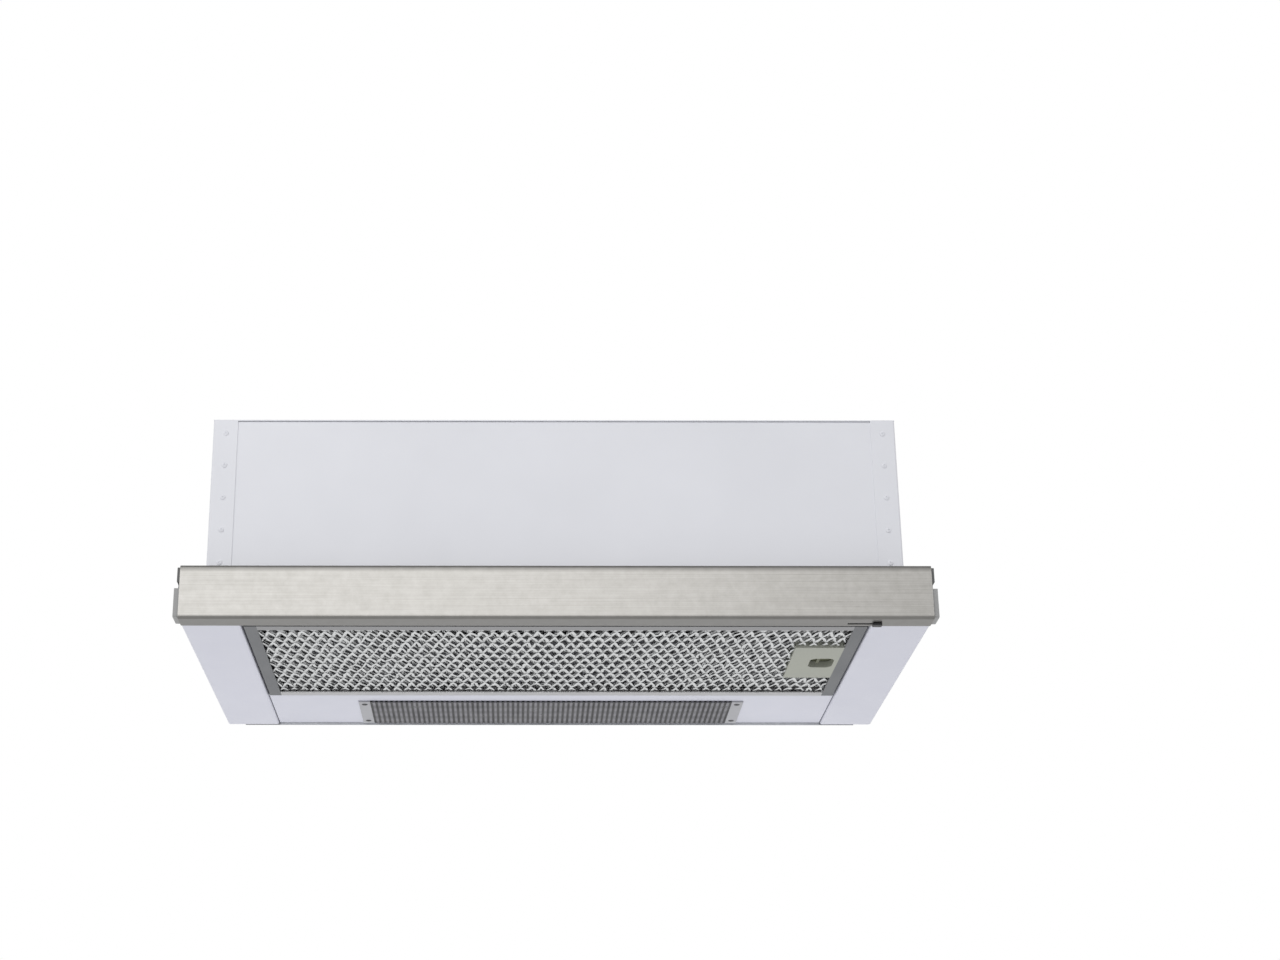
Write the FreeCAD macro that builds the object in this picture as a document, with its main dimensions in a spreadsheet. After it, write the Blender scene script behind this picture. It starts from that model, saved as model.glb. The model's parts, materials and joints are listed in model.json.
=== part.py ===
"""Built-in slide-out range hood for a 600 mm wall cabinet.

A sheet-steel casing hangs inside the cabinet.  A visor with a stainless front strip, two white arms
and a mesh grease filter slides forward under it on nylon glides.  The casing holds the blower, its
motor, the lamp behind a ribbed cover and the duct collar with two gravity flaps.

Origin: middle of the back face, level with the underside.  +X right, +Y to the wall, +Z up.
Lengths are millimetres and angles are degrees.
"""
import FreeCAD, Part
import math
import operator
import os
import Sketcher
from types import SimpleNamespace

# Driving sizes, copied into the sheet
SIZES = {
    # Whole hood
    "hood_depth": 330.0,
    "overrun": 1.0,
    # Front strip
    "trim_width": 600.0,
    "trim_height": 44.0,
    "trim_depth": 20.0,
    "trim_sheet": 0.8,
    "trim_bend": 2.5,
    # End caps of the strip
    "cap_thickness": 4.2,
    "cap_upper_thickness": 2.3,
    "cap_inset": 1.5,
    "cap_notch_base": 25.0,
    "cap_notch_height": 5.5,
    "cap_notch_depth": 9.0,
    "cap_plug_depth": 8.0,
    "cap_plug_inset": 4.0,
    # Channel behind the strip
    "backer_sheet": 1.2,
    "backer_relief": 1.5,
    "backer_bend": 1.5,
    # Visor arms
    "arm_inset": 4.2,
    "arm_width": 46.8,
    "arm_sheet": 1.0,
    "arm_height": 42.0,
    "arm_flange": 13.0,
    "arm_lip": 14.0,
    "arm_bend": 2.0,
    "arm_rear_gap": 3.0,
    "arm_screw_low": 12.0,
    "arm_screw_high": 32.0,
    "arm_screw_radius": 2.0,
    "screw_head_radius": 3.6,
    "screw_head_height": 2.0,
    "screw_tip": 3.0,
    # Casing
    "casing_margin": 20.0,
    "casing_height": 180.0,
    "casing_setback": 30.0,
    "casing_gap": 6.0,
    "casing_sheet": 0.8,
    "casing_bend": 1.6,
    "casing_hem": 12.0,
    "front_flange": 20.0,
    "skirt_base": 9.0,
    # Rivets along the front flanges
    "rivet_inset": 10.5,
    "rivet_low_gap": 6.0,
    "rivet_high_gap": 12.0,
    "rivet_shank": 1.2,
    "rivet_head": 2.4,
    "rivet_height": 0.9,
    "shank_clearance": 0.1,
    # Screws into the cabinet sides
    "cabinet_hole_radius": 2.5,
    "cabinet_hole_end_gap": 50.0,
    "cabinet_hole_edge_gap": 20.0,
    # Runners, slides and glides
    "runner_sheet": 1.2,
    "runner_depth": 10.0,
    "runner_base": 12.0,
    "runner_end_gap": 5.0,
    "slide_sheet": 1.2,
    "slide_end_gap": 8.0,
    "glide_height": 19.0,
    "glide_gap": 0.3,
    "glide_round": 4.0,
    "glide_length": 18.0,
    "glide_end": 16.0,
    "glide_side_gap": 0.8,
    "slide_gap": 0.8,
    "running_clearance": 0.05,
    # Light panel and cross rail
    "light_panel_depth": 97.0,
    "light_panel_base": 2.0,
    "light_panel_gap": 0.8,
    "light_panel_rear_wall": 40.0,
    "cross_rail_web": 22.0,
    "cross_rail_ledge": 14.0,
    # Ribbed lamp cover
    "cover_width": 342.0,
    "cover_tab": 10.0,
    "cover_front": 78.0,
    "cover_rear": 5.0,
    "cover_plate": 1.2,
    "cover_rib_height": 0.6,
    "cover_rib_pitch": 4.5,
    "cover_tab_thickness": 1.4,
    "cover_lip": 3.0,
    "cover_screw_front": 70.0,
    "cover_screw_rear": 14.0,
    "cover_screw_radius": 1.5,
    "cover_screw_head": 2.6,
    "cover_screw_cap": 0.8,
    "cover_screw_length": 4.0,
    # Lamp
    "tube_radius": 8.0,
    "tube_margin": 36.0,
    "tube_cap_length": 12.0,
    "tube_height": 26.0,
    "tube_back": 42.0,
    "holder_width": 9.0,
    "holder_depth": 22.0,
    "holder_wall": 5.0,
    "reflector_front": 86.0,
    "reflector_rear": 6.0,
    "reflector_height": 40.0,
    "reflector_slope": 14.0,
    "reflector_flange": 7.0,
    "reflector_sheet": 0.8,
    "reflector_end_gap": 12.0,
    # Mesh filter in the visor
    "filter_side_gap": 2.0,
    "filter_end_gap": 4.0,
    "filter_base": 0.5,
    "filter_thickness": 9.0,
    "filter_flange": 10.0,
    "filter_sheet": 0.8,
    "filter_seat": 5.0,
    "mesh_cell": 30.0,
    "mesh_cell_depth": 26.0,
    "mesh_strand": 2.6,
    "mesh_pad_gap": 0.4,
    # Filter pivots
    "pivot_inset": 5.0,
    "pivot_height": 4.0,
    "pivot_radius": 2.0,
    "pivot_reach": 3.0,
    "bracket_thickness": 1.5,
    "bracket_width": 13.0,
    "bracket_base": 1.6,
    "bracket_height": 11.0,
    # Filter latch
    "latch_width": 40.0,
    "latch_length": 89.0,
    "latch_window_width": 20.0,
    "latch_window_length": 26.0,
    "latch_window_corner": 6.0,
    "latch_window_inset": 3.5,
    "latch_travel": 6.0,
    "latch_bar_thickness": 2.4,
    "latch_bar_side": 3.0,
    "latch_bar_roof": 0.9,
    "latch_clearance": 0.3,
    "latch_tab_thickness": 2.4,
    "latch_tab_drop": 3.6,
    "latch_nose_length": 12.0,
    "latch_nose_gap": 0.4,
    "latch_tail": 3.0,
    # Speed slider under the strip
    "knob_end": 47.0,
    "knob_back": 6.0,
    "knob_width": 7.0,
    "knob_depth": 6.0,
    "knob_drop": 2.0,
    "knob_stem_width": 4.0,
    "knob_stem_depth": 3.0,
    "knob_travel": 21.0,
    "knob_clearance": 0.3,
    "switch_width": 46.0,
    "switch_height": 14.0,
    "switch_depth": 12.0,
    "switch_groove": 5.0,
    # Inner grease filter
    "inner_filter_side_gap": 4.0,
    "inner_filter_front_gap": 0.8,
    "inner_filter_rear_gap": 1.0,
    "inner_mesh_cell": 54.0,
    "inner_mesh_cell_depth": 44.0,
    # Blower scroll
    "blower_back": 170.0,
    "blower_gap": 7.9,
    "scroll_first_step": 2.5,
    "scroll_second_step": 3.5,
    "scroll_width": 90.0,
    "scroll_wall": 2.0,
    "scroll_flange": 22.0,
    "inlet_gap": 2.5,
    "inlet_ring_wall": 3.0,
    "inlet_ring_length": 4.0,
    # Blower wheel
    "wheel_gap": 3.5,
    "blade_depth": 7.0,
    "wheel_width": 76.0,
    "wheel_ring": 2.5,
    "wheel_disc": 2.5,
    "wheel_boss_radius": 9.0,
    "wheel_boss_length": 20.0,
    "blade_thickness": 1.2,
    "blade_bulge": 0.8,
    "shaft_radius": 4.0,
    "shaft_tip": 4.0,
    # Motor
    "motor_gap": 17.0,
    "motor_radius": 36.0,
    "motor_bell_radius": 32.0,
    "motor_bell_length": 16.0,
    "motor_bell_slope": 6.0,
    "motor_stack_length": 30.0,
    "motor_stack_bore": 14.0,
    "spider_thickness": 4.0,
    "spider_hub": 22.0,
    "spider_arm": 10.0,
    "spider_foot_gap": 3.5,
    "spider_foot_radius": 3.5,
    # Capacitor and terminal box
    "box_margin": 48.0,
    "box_width": 74.0,
    "box_depth": 44.0,
    "box_height": 56.0,
    "box_wall": 2.0,
    "box_drop": 8.0,
    "capacitor_radius": 15.0,
    "capacitor_length": 52.0,
    "capacitor_rim": 2.0,
    # Cable gland on the top panel
    "gland_margin": 84.0,
    "gland_back": 24.0,
    "gland_radius": 10.0,
    "gland_height": 11.0,
    "gland_cap_radius": 7.5,
    "gland_shank": 7.0,
    "gland_bore": 3.6,
    "gland_flange": 3.0,
    "gland_shank_length": 7.0,
    # Duct collar
    "collar_radius": 60.0,
    "collar_wall": 2.0,
    "collar_height": 34.0,
    "collar_flange_radius": 74.0,
    "collar_flange": 2.5,
    "collar_ledge_width": 6.0,
    "collar_ledge_height": 8.0,
    "collar_ledge": 2.0,
    "collar_screw_circle": 67.0,
    "collar_screw_radius": 1.8,
    "collar_screw_head": 3.4,
    "collar_screw_cap": 1.8,
    "collar_screw_length": 6.0,
    # Flaps
    "flap_clearance": 1.5,
    "flap_thickness": 1.2,
    "flap_edge": 4.2,
    "flap_rest_gap": 0.3,
    "flap_barrel": 3.2,
    "flap_middle": 36.0,
    "flap_barrel_gap": 0.5,
    "flap_outer_barrel": 19.0,
    "flap_pin_radius": 2.0,
    "flap_pin_seat": 1.2,
}

# Counts and shares
RIVETS_PER_SIDE = 5
FASTENER_SIDES = 12
BLADE_COUNT = 24
COLLAR_SCREWS = 4
COLLAR_SCREW_TURN = 45.0
SPIDER_ARMS = 3
RIB_TOP_SHARE = 0.45
SCROLL_SHARE = 0.48
BLADE_LEAN_SHARE = 0.55

SIDES = {"left": -1, "right": 1}

doc = FreeCAD.newDocument("RangeHood")
sheet = doc.addObject("Spreadsheet::Sheet", "Sizes")
for row, (alias, number) in enumerate(SIZES.items(), start=1):
    sheet.set("A%d" % row, alias)
    sheet.set("B%d" % row, str(number))
    sheet.setAlias("B%d" % row, alias)
doc.recompute()


class Size:
    """A size that knows both its value and the sheet expression that gives it."""

    def __init__(self, text, value):
        self.text = text
        self.value = value

    def __add__(self, other):
        return join(self, "+", other, operator.add)

    def __sub__(self, other):
        return join(self, "-", other, operator.sub)

    def __mul__(self, other):
        return join(self, "*", other, operator.mul)

    def __truediv__(self, other):
        return join(self, "/", other, operator.truediv)

    def __rmul__(self, other):
        return join(other, "*", self, operator.mul)

    def __neg__(self):
        return Size("-(%s)" % self.text, -self.value)


def as_size(thing):
    """A plain number as a Size."""
    if isinstance(thing, Size):
        return thing
    return Size("(%r)" % thing, float(thing))


def join(left, sign, right, work):
    """Two sizes joined by one arithmetic sign."""
    left = as_size(left)
    right = as_size(right)
    return Size("(%s %s %s)" % (left.text, sign, right.text), work(left.value, right.value))


s = SimpleNamespace(**{alias: Size("Sizes." + alias, float(sheet.get(alias))) for alias in SIZES})
ZERO = as_size(0)
NODES = []

# Places that several pieces share
front = -s.hood_depth
trim_back = front + s.trim_depth
strip_half = s.trim_width / 2 - s.cap_thickness
arm_outer = s.trim_width / 2 - s.arm_inset
arm_inner = arm_outer - s.arm_width
arm_wall = arm_outer - s.arm_sheet
casing_half = s.trim_width / 2 - s.casing_margin
casing_front = front + s.casing_setback
box_side = casing_half - s.box_margin
gland_side = casing_half - s.gland_margin
casing_base = s.trim_height + s.casing_gap
roof = s.casing_height - s.casing_sheet
ledge_top = casing_base + s.casing_sheet
light_front = -s.light_panel_depth
glide_level = s.runner_base + s.runner_sheet + s.glide_gap + s.glide_height / 2
runner_top = glide_level + s.glide_height / 2 + s.glide_gap + s.runner_sheet
slide_wall = arm_wall - s.slide_sheet
filter_half = arm_inner - s.filter_side_gap
filter_front = trim_back + s.filter_end_gap
filter_rear = light_front - s.filter_end_gap
filter_middle = (filter_front + filter_rear) / 2
filter_top = s.filter_base + s.filter_thickness
pivot_side = -(filter_half - s.pivot_inset)
knob_side = s.trim_width / 2 - s.knob_end
knob_middle = trim_back - s.knob_back
axis_back = -s.blower_back
blower_room = roof - ledge_top - s.filter_thickness - s.blower_gap
scroll_second = blower_room * SCROLL_SHARE
scroll_first = scroll_second - s.scroll_first_step
scroll_third = scroll_second + s.scroll_second_step
throat_height = blower_room - scroll_second
axis_height = roof - throat_height
scroll_rear = axis_back + s.scroll_first_step + scroll_third
wheel_radius = scroll_first - s.scroll_wall - s.wheel_gap
wheel_inner = wheel_radius - s.blade_depth
inlet_radius = wheel_inner - s.inlet_gap
foot_circle = inlet_radius + s.inlet_ring_wall + s.spider_foot_gap + s.spider_foot_radius
collar_back = (axis_back + scroll_rear) / 2
collar_inner = s.collar_radius - s.collar_wall
flap_height = s.casing_height + s.collar_ledge_height + s.flap_rest_gap + s.flap_thickness / 2
motor_end = -(s.scroll_width / 2 + s.motor_gap)

# Which way a turned piece's own Z axis points
TURNS = {
    "Z": FreeCAD.Rotation(),
    "-Z": FreeCAD.Rotation(FreeCAD.Vector(1, 0, 0), 180),
    "X": FreeCAD.Rotation(FreeCAD.Vector(0, 1, 0), 90),
    "-X": FreeCAD.Rotation(FreeCAD.Vector(0, 1, 0), -90),
    "Y": FreeCAD.Rotation(FreeCAD.Vector(1, 0, 0), -90),
    "-Y": FreeCAD.Rotation(FreeCAD.Vector(1, 0, 0), 90),
}


def keep(obj, label):
    """Names an object as one of the hood's pieces."""
    obj.Label = label
    NODES.append(obj)
    return obj


def vector(*sizes):
    """Point of three sizes as numbers."""
    return FreeCAD.Vector(*[as_size(size).value for size in sizes])


def place(obj, x, y, z, turn="Z"):
    """Binds an object's position to sizes and turns it."""
    obj.Placement = FreeCAD.Placement(vector(x, y, z), TURNS[turn])
    for axis, size in zip("xyz", (x, y, z)):
        obj.setExpression("Placement.Base." + axis, as_size(size).text)


def block(name, low, high):
    """Box between two opposite corners."""
    box = doc.addObject("Part::Box", name)
    for axis, side in enumerate(("Length", "Width", "Height")):
        box.setExpression(side, (as_size(high[axis]) - low[axis]).text)
    place(box, *low)
    return box


def rod(name, start, radius, length, turn="Z"):
    """Cylinder from a start point along one axis."""
    cylinder = doc.addObject("Part::Cylinder", name)
    cylinder.setExpression("Radius", as_size(radius).text)
    cylinder.setExpression("Height", as_size(length).text)
    place(cylinder, *start, turn=turn)
    return cylinder


def peg(name, start, radius, length, turn="Z"):
    """Many-sided rod that stands for a small fastener or its hole."""
    prism = doc.addObject("Part::Prism", name)
    prism.Polygon = FASTENER_SIDES
    prism.setExpression("Circumradius", as_size(radius).text)
    prism.setExpression("Height", as_size(length).text)
    place(prism, *start, turn=turn)
    return prism


def fuse(name, shapes):
    """Several overlapping shapes made one."""
    joined = doc.addObject("Part::MultiFuse", name)
    joined.Shapes = shapes
    return joined


def cut(name, base, tools):
    """Base with every tool taken away."""
    for index, tool in enumerate(tools):
        result = doc.addObject("Part::Cut", "%s_%d" % (name, index))
        result.Base = base
        result.Tool = tool
        base = result
    return base


def common(name, base, tool):
    """What two shapes share."""
    result = doc.addObject("Part::Common", name)
    result.Base = base
    result.Tool = tool
    return result


def origin_plane(body, role):
    """One of a body's own three planes."""
    return [part for part in body.Origin.OriginFeatures if part.Role == role][0]


def outline(body, plane, points):
    """Closed sketch of straight edges, each corner bound to two sizes."""
    sketch = body.newObject("Sketcher::SketchObject", body.Name + "_outline")
    sketch.AttachmentSupport = (origin_plane(body, plane), [""])
    sketch.MapMode = "FlatFace"
    count = len(points)
    points = [(as_size(across), as_size(up)) for across, up in points]
    for index, (across, up) in enumerate(points):
        next_across, next_up = points[(index + 1) % count]
        sketch.addGeometry(Part.LineSegment(vector(across, up, 0), vector(next_across, next_up, 0)))
    for index in range(count):
        sketch.addConstraint(Sketcher.Constraint("Coincident", index, 2, (index + 1) % count, 1))
    for index, corner in enumerate(points):
        for kind, size in zip(("DistanceX", "DistanceY"), corner):
            number = sketch.addConstraint(Sketcher.Constraint(kind, -1, 1, index, 1, size.value))
            sketch.setExpression("Constraints[%d]" % number, size.text)
    return sketch


def bar(name, plane, points, start, length):
    """Outline drawn on a plane and padded along that plane's axis, from start towards plus."""
    body = doc.addObject("PartDesign::Body", name)
    pad = body.newObject("PartDesign::Pad", name + "_pad")
    pad.Profile = outline(body, plane + "_Plane", points)
    pad.setExpression("Length", as_size(length).text)
    pad.Reversed = plane == "XZ"
    axis = {"YZ": "x", "XZ": "y", "XY": "z"}[plane]
    body.setExpression("Placement.Base." + axis, as_size(start).text)
    body.Tip = pad
    return body


def fold(body, plane, corners, radius):
    """Rounds the long edges of a padded outline at the given corners."""
    doc.recompute()
    base = body.Tip
    wanted = [(as_size(across).value, as_size(up).value) for across, up in corners]
    picks = {"YZ": ("y", "z"), "XZ": ("x", "z"), "XY": ("x", "y")}[plane]
    edges = []
    for number, edge in enumerate(base.Shape.Edges, start=1):
        ends = [tuple(getattr(vertex.Point, axis) for axis in picks) for vertex in edge.Vertexes]
        if len(ends) == 2 and math.dist(*ends) < Part.Precision.confusion():
            if min(math.dist(ends[0], corner) for corner in wanted) < Part.Precision.approximation():
                edges.append("Edge%d" % number)
    fillet = body.newObject("PartDesign::Fillet", body.Name + "_fold")
    fillet.Base = (base, edges)
    fillet.setExpression("Radius", as_size(radius).text)
    body.Tip = fillet
    return body


def turned(name, points, where=(ZERO, ZERO, ZERO), turn="Z"):
    """Solid of revolution from corners given as radius and height."""
    body = doc.addObject("PartDesign::Body", name)
    spin = body.newObject("PartDesign::Revolution", name + "_turn")
    sketch = outline(body, "XZ_Plane", points)
    spin.Profile = sketch
    spin.ReferenceAxis = (sketch, ["V_Axis"])
    body.Tip = spin
    place(body, *where, turn=turn)
    return body


def group(label, pattern, places):
    """Copies of one piece, each at a point and turned one way, as a single node."""
    doc.recompute()
    copies = []
    for where, turn in places:
        copy = pattern.Shape.copy()
        copy.Placement = FreeCAD.Placement(vector(*where), TURNS[turn])
        copies.append(copy)
    feature = doc.addObject("Part::Feature", label + "_group")
    feature.Shape = Part.makeCompound(copies)
    return keep(feature, label)


def span(side, near, far):
    """Low and high X of a stretch, given for the right side and mirrored for the left."""
    if side > 0:
        return near, far
    return -far, -near


def fastener(name, shank, length, head, height):
    """Screw or rivet whose head sits above its zero level."""
    pieces = [peg(name + "_shank", (ZERO, ZERO, -length), shank, length),
              peg(name + "_head", (ZERO, ZERO, ZERO), head, height)]
    return fuse(name, pieces)


# Front strip, its end caps and the channel behind it
def knob_slot(name, low, high):
    """Clear space for the speed slider's stem through a sheet."""
    left = knob_side - s.knob_travel - s.knob_stem_width / 2 - s.knob_clearance
    right = knob_side + s.knob_stem_width / 2 + s.knob_clearance
    reach = s.knob_stem_depth / 2 + s.knob_clearance
    return block(name, (left, knob_middle - reach, low - s.overrun),
                 (right, knob_middle + reach, high + s.overrun))


def trim_strip():
    sheet_in = s.trim_sheet
    high = s.trim_height
    points = [(trim_back, ZERO), (front, ZERO), (front, high), (trim_back, high),
              (trim_back, high - sheet_in), (front + sheet_in, high - sheet_in),
              (front + sheet_in, sheet_in), (trim_back, sheet_in)]
    strip = bar("strip_fold", "YZ", points, -strip_half, strip_half * 2)
    fold(strip, "YZ", points[1:3], s.trim_bend)
    fold(strip, "YZ", points[5:7], s.trim_bend - sheet_in)
    slot = knob_slot("strip_slot", ZERO, sheet_in)
    keep(cut("strip_cut", strip, [slot]), "trim_strip")


def trim_cap(name, side):
    """End cap with a thin plate, a thick lower tab, a notch above the tab and a plug inside the strip."""
    near = front + s.cap_inset
    low = s.cap_inset
    high = s.trim_height - s.cap_inset
    tab_top = s.cap_notch_base
    notch_top = s.cap_notch_base + s.cap_notch_height
    notch_back = near + s.cap_notch_depth
    points = [(near, low), (trim_back, low), (trim_back, high), (near, high), (near, notch_top),
              (notch_back, notch_top), (notch_back, tab_top), (near, tab_top)]
    start = span(side, strip_half, strip_half + s.cap_upper_thickness)[0]
    plate = bar("cap_plate_" + name, "YZ", points, start, s.cap_upper_thickness)
    fold(plate, "YZ", [points[0], points[3]], s.cap_inset)
    tab_points = [(near, low), (trim_back, low), (trim_back, tab_top), (near, tab_top)]
    start = span(side, strip_half, s.trim_width / 2)[0]
    tab = bar("cap_tab_" + name, "YZ", tab_points, start, s.cap_thickness)
    fold(tab, "YZ", tab_points[:1], s.cap_inset)
    left, right = span(side, strip_half - s.cap_plug_depth, strip_half)
    plug = block("cap_plug_" + name, (left, front + s.cap_plug_inset, s.trim_sheet),
                 (right, trim_back - s.cap_plug_inset, s.trim_height - s.trim_sheet))
    keep(fuse("cap_" + name, [plate, tab, plug]), "trim_cap_" + name)


def arm_screw_places(side):
    """Points where an arm's front plate is screwed to the channel."""
    across = side * ((arm_inner + arm_outer) / 2)
    return [(across, trim_back, s.arm_screw_low), (across, trim_back, s.arm_screw_high)]


def trim_backer():
    gauge = s.backer_sheet
    low = s.trim_sheet
    high = s.trim_height - s.trim_sheet
    tip = front + s.trim_bend + s.backer_relief
    points = [(tip, low), (trim_back, low), (trim_back, high), (tip, high), (tip, high - gauge),
              (trim_back - gauge, high - gauge), (trim_back - gauge, low + gauge), (tip, low + gauge)]
    half = strip_half - s.cap_plug_depth - s.shank_clearance
    channel = bar("backer_fold", "YZ", points, -half, half * 2)
    fold(channel, "YZ", points[1:3], s.backer_bend)
    tools = [knob_slot("backer_slot", low, low + gauge)]
    for name, side in SIDES.items():
        for number, where in enumerate(arm_screw_places(side)):
            start = (where[0], where[1] - gauge - s.overrun, where[2])
            radius = s.arm_screw_radius + s.shank_clearance
            tools.append(peg("backer_hole_%s_%d" % (name, number), start, radius,
                             gauge + s.overrun * 2, "Y"))
    keep(cut("backer_cut", channel, tools), "trim_backer")


# Visor arms
def arm(name, side):
    gauge = s.arm_sheet
    points = [(arm_inner, s.arm_lip), (arm_inner, ZERO), (arm_outer, ZERO), (arm_outer, s.arm_height),
              (arm_outer - s.arm_flange, s.arm_height), (arm_outer - s.arm_flange, s.arm_height - gauge),
              (arm_wall, s.arm_height - gauge), (arm_wall, gauge), (arm_inner + gauge, gauge),
              (arm_inner + gauge, s.arm_lip)]
    points = [(side * across, up) for across, up in points]
    length = -trim_back - s.arm_rear_gap
    channel = bar("arm_fold_" + name, "XZ", points, trim_back, length)
    fold(channel, "XZ", [points[1], points[2], points[3]], s.arm_bend)
    fold(channel, "XZ", [points[6], points[7], points[8]], s.arm_bend - gauge)
    left, right = span(side, arm_inner + gauge, arm_wall)
    plate = block("arm_plate_" + name, (left, trim_back, gauge),
                  (right, trim_back + gauge, s.arm_height - gauge))
    tools = []
    for number, where in enumerate(arm_screw_places(side)):
        start = (where[0], where[1] - s.overrun, where[2])
        tools.append(peg("arm_hole_%s_%d" % (name, number), start, s.arm_screw_radius + s.shank_clearance,
                         gauge + s.overrun * 2, "Y"))
    if side > 0:
        reach = s.latch_nose_length / 2 + s.latch_clearance
        low = filter_top - s.latch_bar_roof - s.latch_bar_thickness - s.latch_clearance
        high = filter_top - s.latch_bar_roof + s.latch_clearance
        tools.append(block("arm_keeper", (arm_inner - s.overrun, filter_middle - reach, low),
                           (arm_inner + gauge + s.overrun, filter_middle + reach, high)))
    keep(cut("arm_cut_" + name, fuse("arm_joined_" + name, [channel, plate]), tools), "arm_" + name)


def arm_screws():
    pattern = fastener("arm_screw_pattern", s.arm_screw_radius, s.arm_sheet + s.screw_tip,
                       s.screw_head_radius, s.screw_head_height)
    places = []
    for side in SIDES.values():
        for across, back, up in arm_screw_places(side):
            places.append(((across, back + s.arm_sheet, up), "Y"))
    group("arm_screws", pattern, places)


# Runners on the casing, slides on the arms and the glides between them
def runner(name, side):
    gauge = s.runner_sheet
    far = casing_half + s.runner_depth
    points = [(casing_half, s.runner_base), (far, s.runner_base), (far, s.runner_base + gauge),
              (casing_half + gauge, s.runner_base + gauge), (casing_half + gauge, runner_top - gauge),
              (far, runner_top - gauge), (far, runner_top), (casing_half, runner_top)]
    points = [(side * across, up) for across, up in points]
    start = casing_front + s.runner_end_gap
    rail = bar("runner_" + name, "XZ", points, start, -start - s.runner_end_gap)
    fold(rail, "XZ", [points[0], points[7]], gauge)
    keep(rail, "runner_" + name)


def slide(name, side):
    gauge = s.slide_sheet
    under = runner_top - s.runner_sheet
    tip = casing_half + s.runner_depth + s.slide_gap
    points = [(arm_wall, s.runner_base), (arm_wall, under + gauge), (tip, under + gauge),
              (tip, under), (slide_wall, under), (slide_wall, s.runner_base)]
    points = [(side * across, up) for across, up in points]
    start = trim_back + s.slide_end_gap
    rail = bar("slide_" + name, "XZ", points, start, -start - s.slide_end_gap)
    fold(rail, "XZ", [points[1]], gauge)
    keep(rail, "slide_" + name)


def glide(label, side, near, far, middle, reach):
    """Nylon block with rounded ends that slides in or on a rail."""
    left, right = span(side, near, far)
    half = s.glide_height / 2
    points = [(middle - reach, glide_level - half), (middle + reach, glide_level - half),
              (middle + reach, glide_level + half), (middle - reach, glide_level + half)]
    block_body = bar(label + "_block", "YZ", points, left, right - left)
    fold(block_body, "YZ", points, s.glide_round)
    keep(block_body, label)


def glides():
    """A fixed pair at the front of the runners and a moving pair at the back of the slides."""
    reach = s.glide_length / 2
    for name, side in SIDES.items():
        glide("front_glide_" + name, side, casing_half + s.runner_sheet, slide_wall - s.glide_side_gap,
              casing_front + s.glide_end, reach)
        glide("rear_glide_" + name, side, casing_half + s.runner_sheet + s.glide_side_gap, slide_wall,
              -s.glide_end, reach)


# Casing panels
def rivet_places(side):
    """Points on the front of the casing where a flange is riveted."""
    across = side * (casing_half - s.rivet_inset)
    first = casing_base + s.rivet_low_gap
    pitch = (s.casing_height - s.rivet_high_gap - first) / (RIVETS_PER_SIDE - 1)
    return [(across, casing_front, first + pitch * number) for number in range(RIVETS_PER_SIDE)]


def rivet_holes(prefix, sides):
    """Holes for the rivets through both front sheets."""
    tools = []
    for side in sides:
        for number, (across, back, up) in enumerate(rivet_places(side)):
            tools.append(peg("%s_%d_%d" % (prefix, side + 1, number), (across, back - s.overrun, up),
                             s.rivet_shank + s.shank_clearance, s.casing_sheet * 2 + s.overrun * 2, "Y"))
    return tools


def casing_side(name, side):
    gauge = s.casing_sheet
    points = [(casing_half, casing_front), (casing_half, -gauge), (casing_half - s.casing_hem, -gauge),
              (casing_half - s.casing_hem, -gauge * 2), (casing_half - gauge, -gauge * 2),
              (casing_half - gauge, casing_front + gauge),
              (casing_half - s.front_flange, casing_front + gauge),
              (casing_half - s.front_flange, casing_front)]
    points = [(side * across, back) for across, back in points]
    panel = bar("side_fold_" + name, "XY", points, s.skirt_base, roof - s.skirt_base)
    fold(panel, "XY", points[:2], s.casing_bend)
    fold(panel, "XY", points[4:6], s.casing_bend - gauge)
    left, right = span(side, casing_half - s.front_flange - s.overrun, casing_half - s.casing_bend)
    tools = [block("side_relief_" + name, (left, casing_front - s.overrun, s.skirt_base - s.overrun),
                   (right, casing_front + gauge + s.overrun, casing_base))]
    for back in (casing_front + s.cabinet_hole_end_gap, -s.cabinet_hole_end_gap):
        for up in (casing_base + s.cabinet_hole_edge_gap, s.casing_height - s.cabinet_hole_edge_gap):
            start = span(side, casing_half - gauge - s.overrun, casing_half + s.overrun)[0]
            tools.append(rod("side_hole_%s_%d" % (name, len(tools)), (start, back, up),
                             s.cabinet_hole_radius, gauge + s.overrun * 2, "X"))
    tools += rivet_holes("side_rivet_" + name, [side])
    keep(cut("side_cut_" + name, panel, tools), "casing_" + name)


def casing_front_panel():
    gauge = s.casing_sheet
    near = casing_front + gauge
    far = near + s.casing_hem
    points = [(near, casing_base), (near, roof), (far, roof), (far, roof - gauge),
              (near + gauge, roof - gauge), (near + gauge, casing_base + gauge),
              (far, casing_base + gauge), (far, casing_base)]
    half = casing_half - s.casing_bend
    panel = bar("front_fold", "YZ", points, -half, half * 2)
    fold(panel, "YZ", points[:2], s.casing_bend)
    fold(panel, "YZ", points[4:6], s.casing_bend - gauge)
    keep(cut("front_cut", panel, rivet_holes("front_rivet", SIDES.values())), "casing_front")


def casing_back_panel():
    gauge = s.casing_sheet
    points = [(-gauge, ZERO), (ZERO, ZERO), (ZERO, roof), (-s.casing_hem, roof),
              (-s.casing_hem, roof - gauge), (-gauge, roof - gauge)]
    panel = bar("back_fold", "YZ", points, -casing_half, casing_half * 2)
    tools = []
    for name, side in SIDES.items():
        left, right = span(side, casing_half - s.casing_hem - s.overrun, casing_half + s.overrun)
        tools.append(block("back_corner_" + name, (left, -s.casing_hem - s.overrun, roof - s.casing_hem),
                           (right, -gauge, roof + s.overrun)))
    keep(cut("back_cut", panel, tools), "casing_back")


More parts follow.
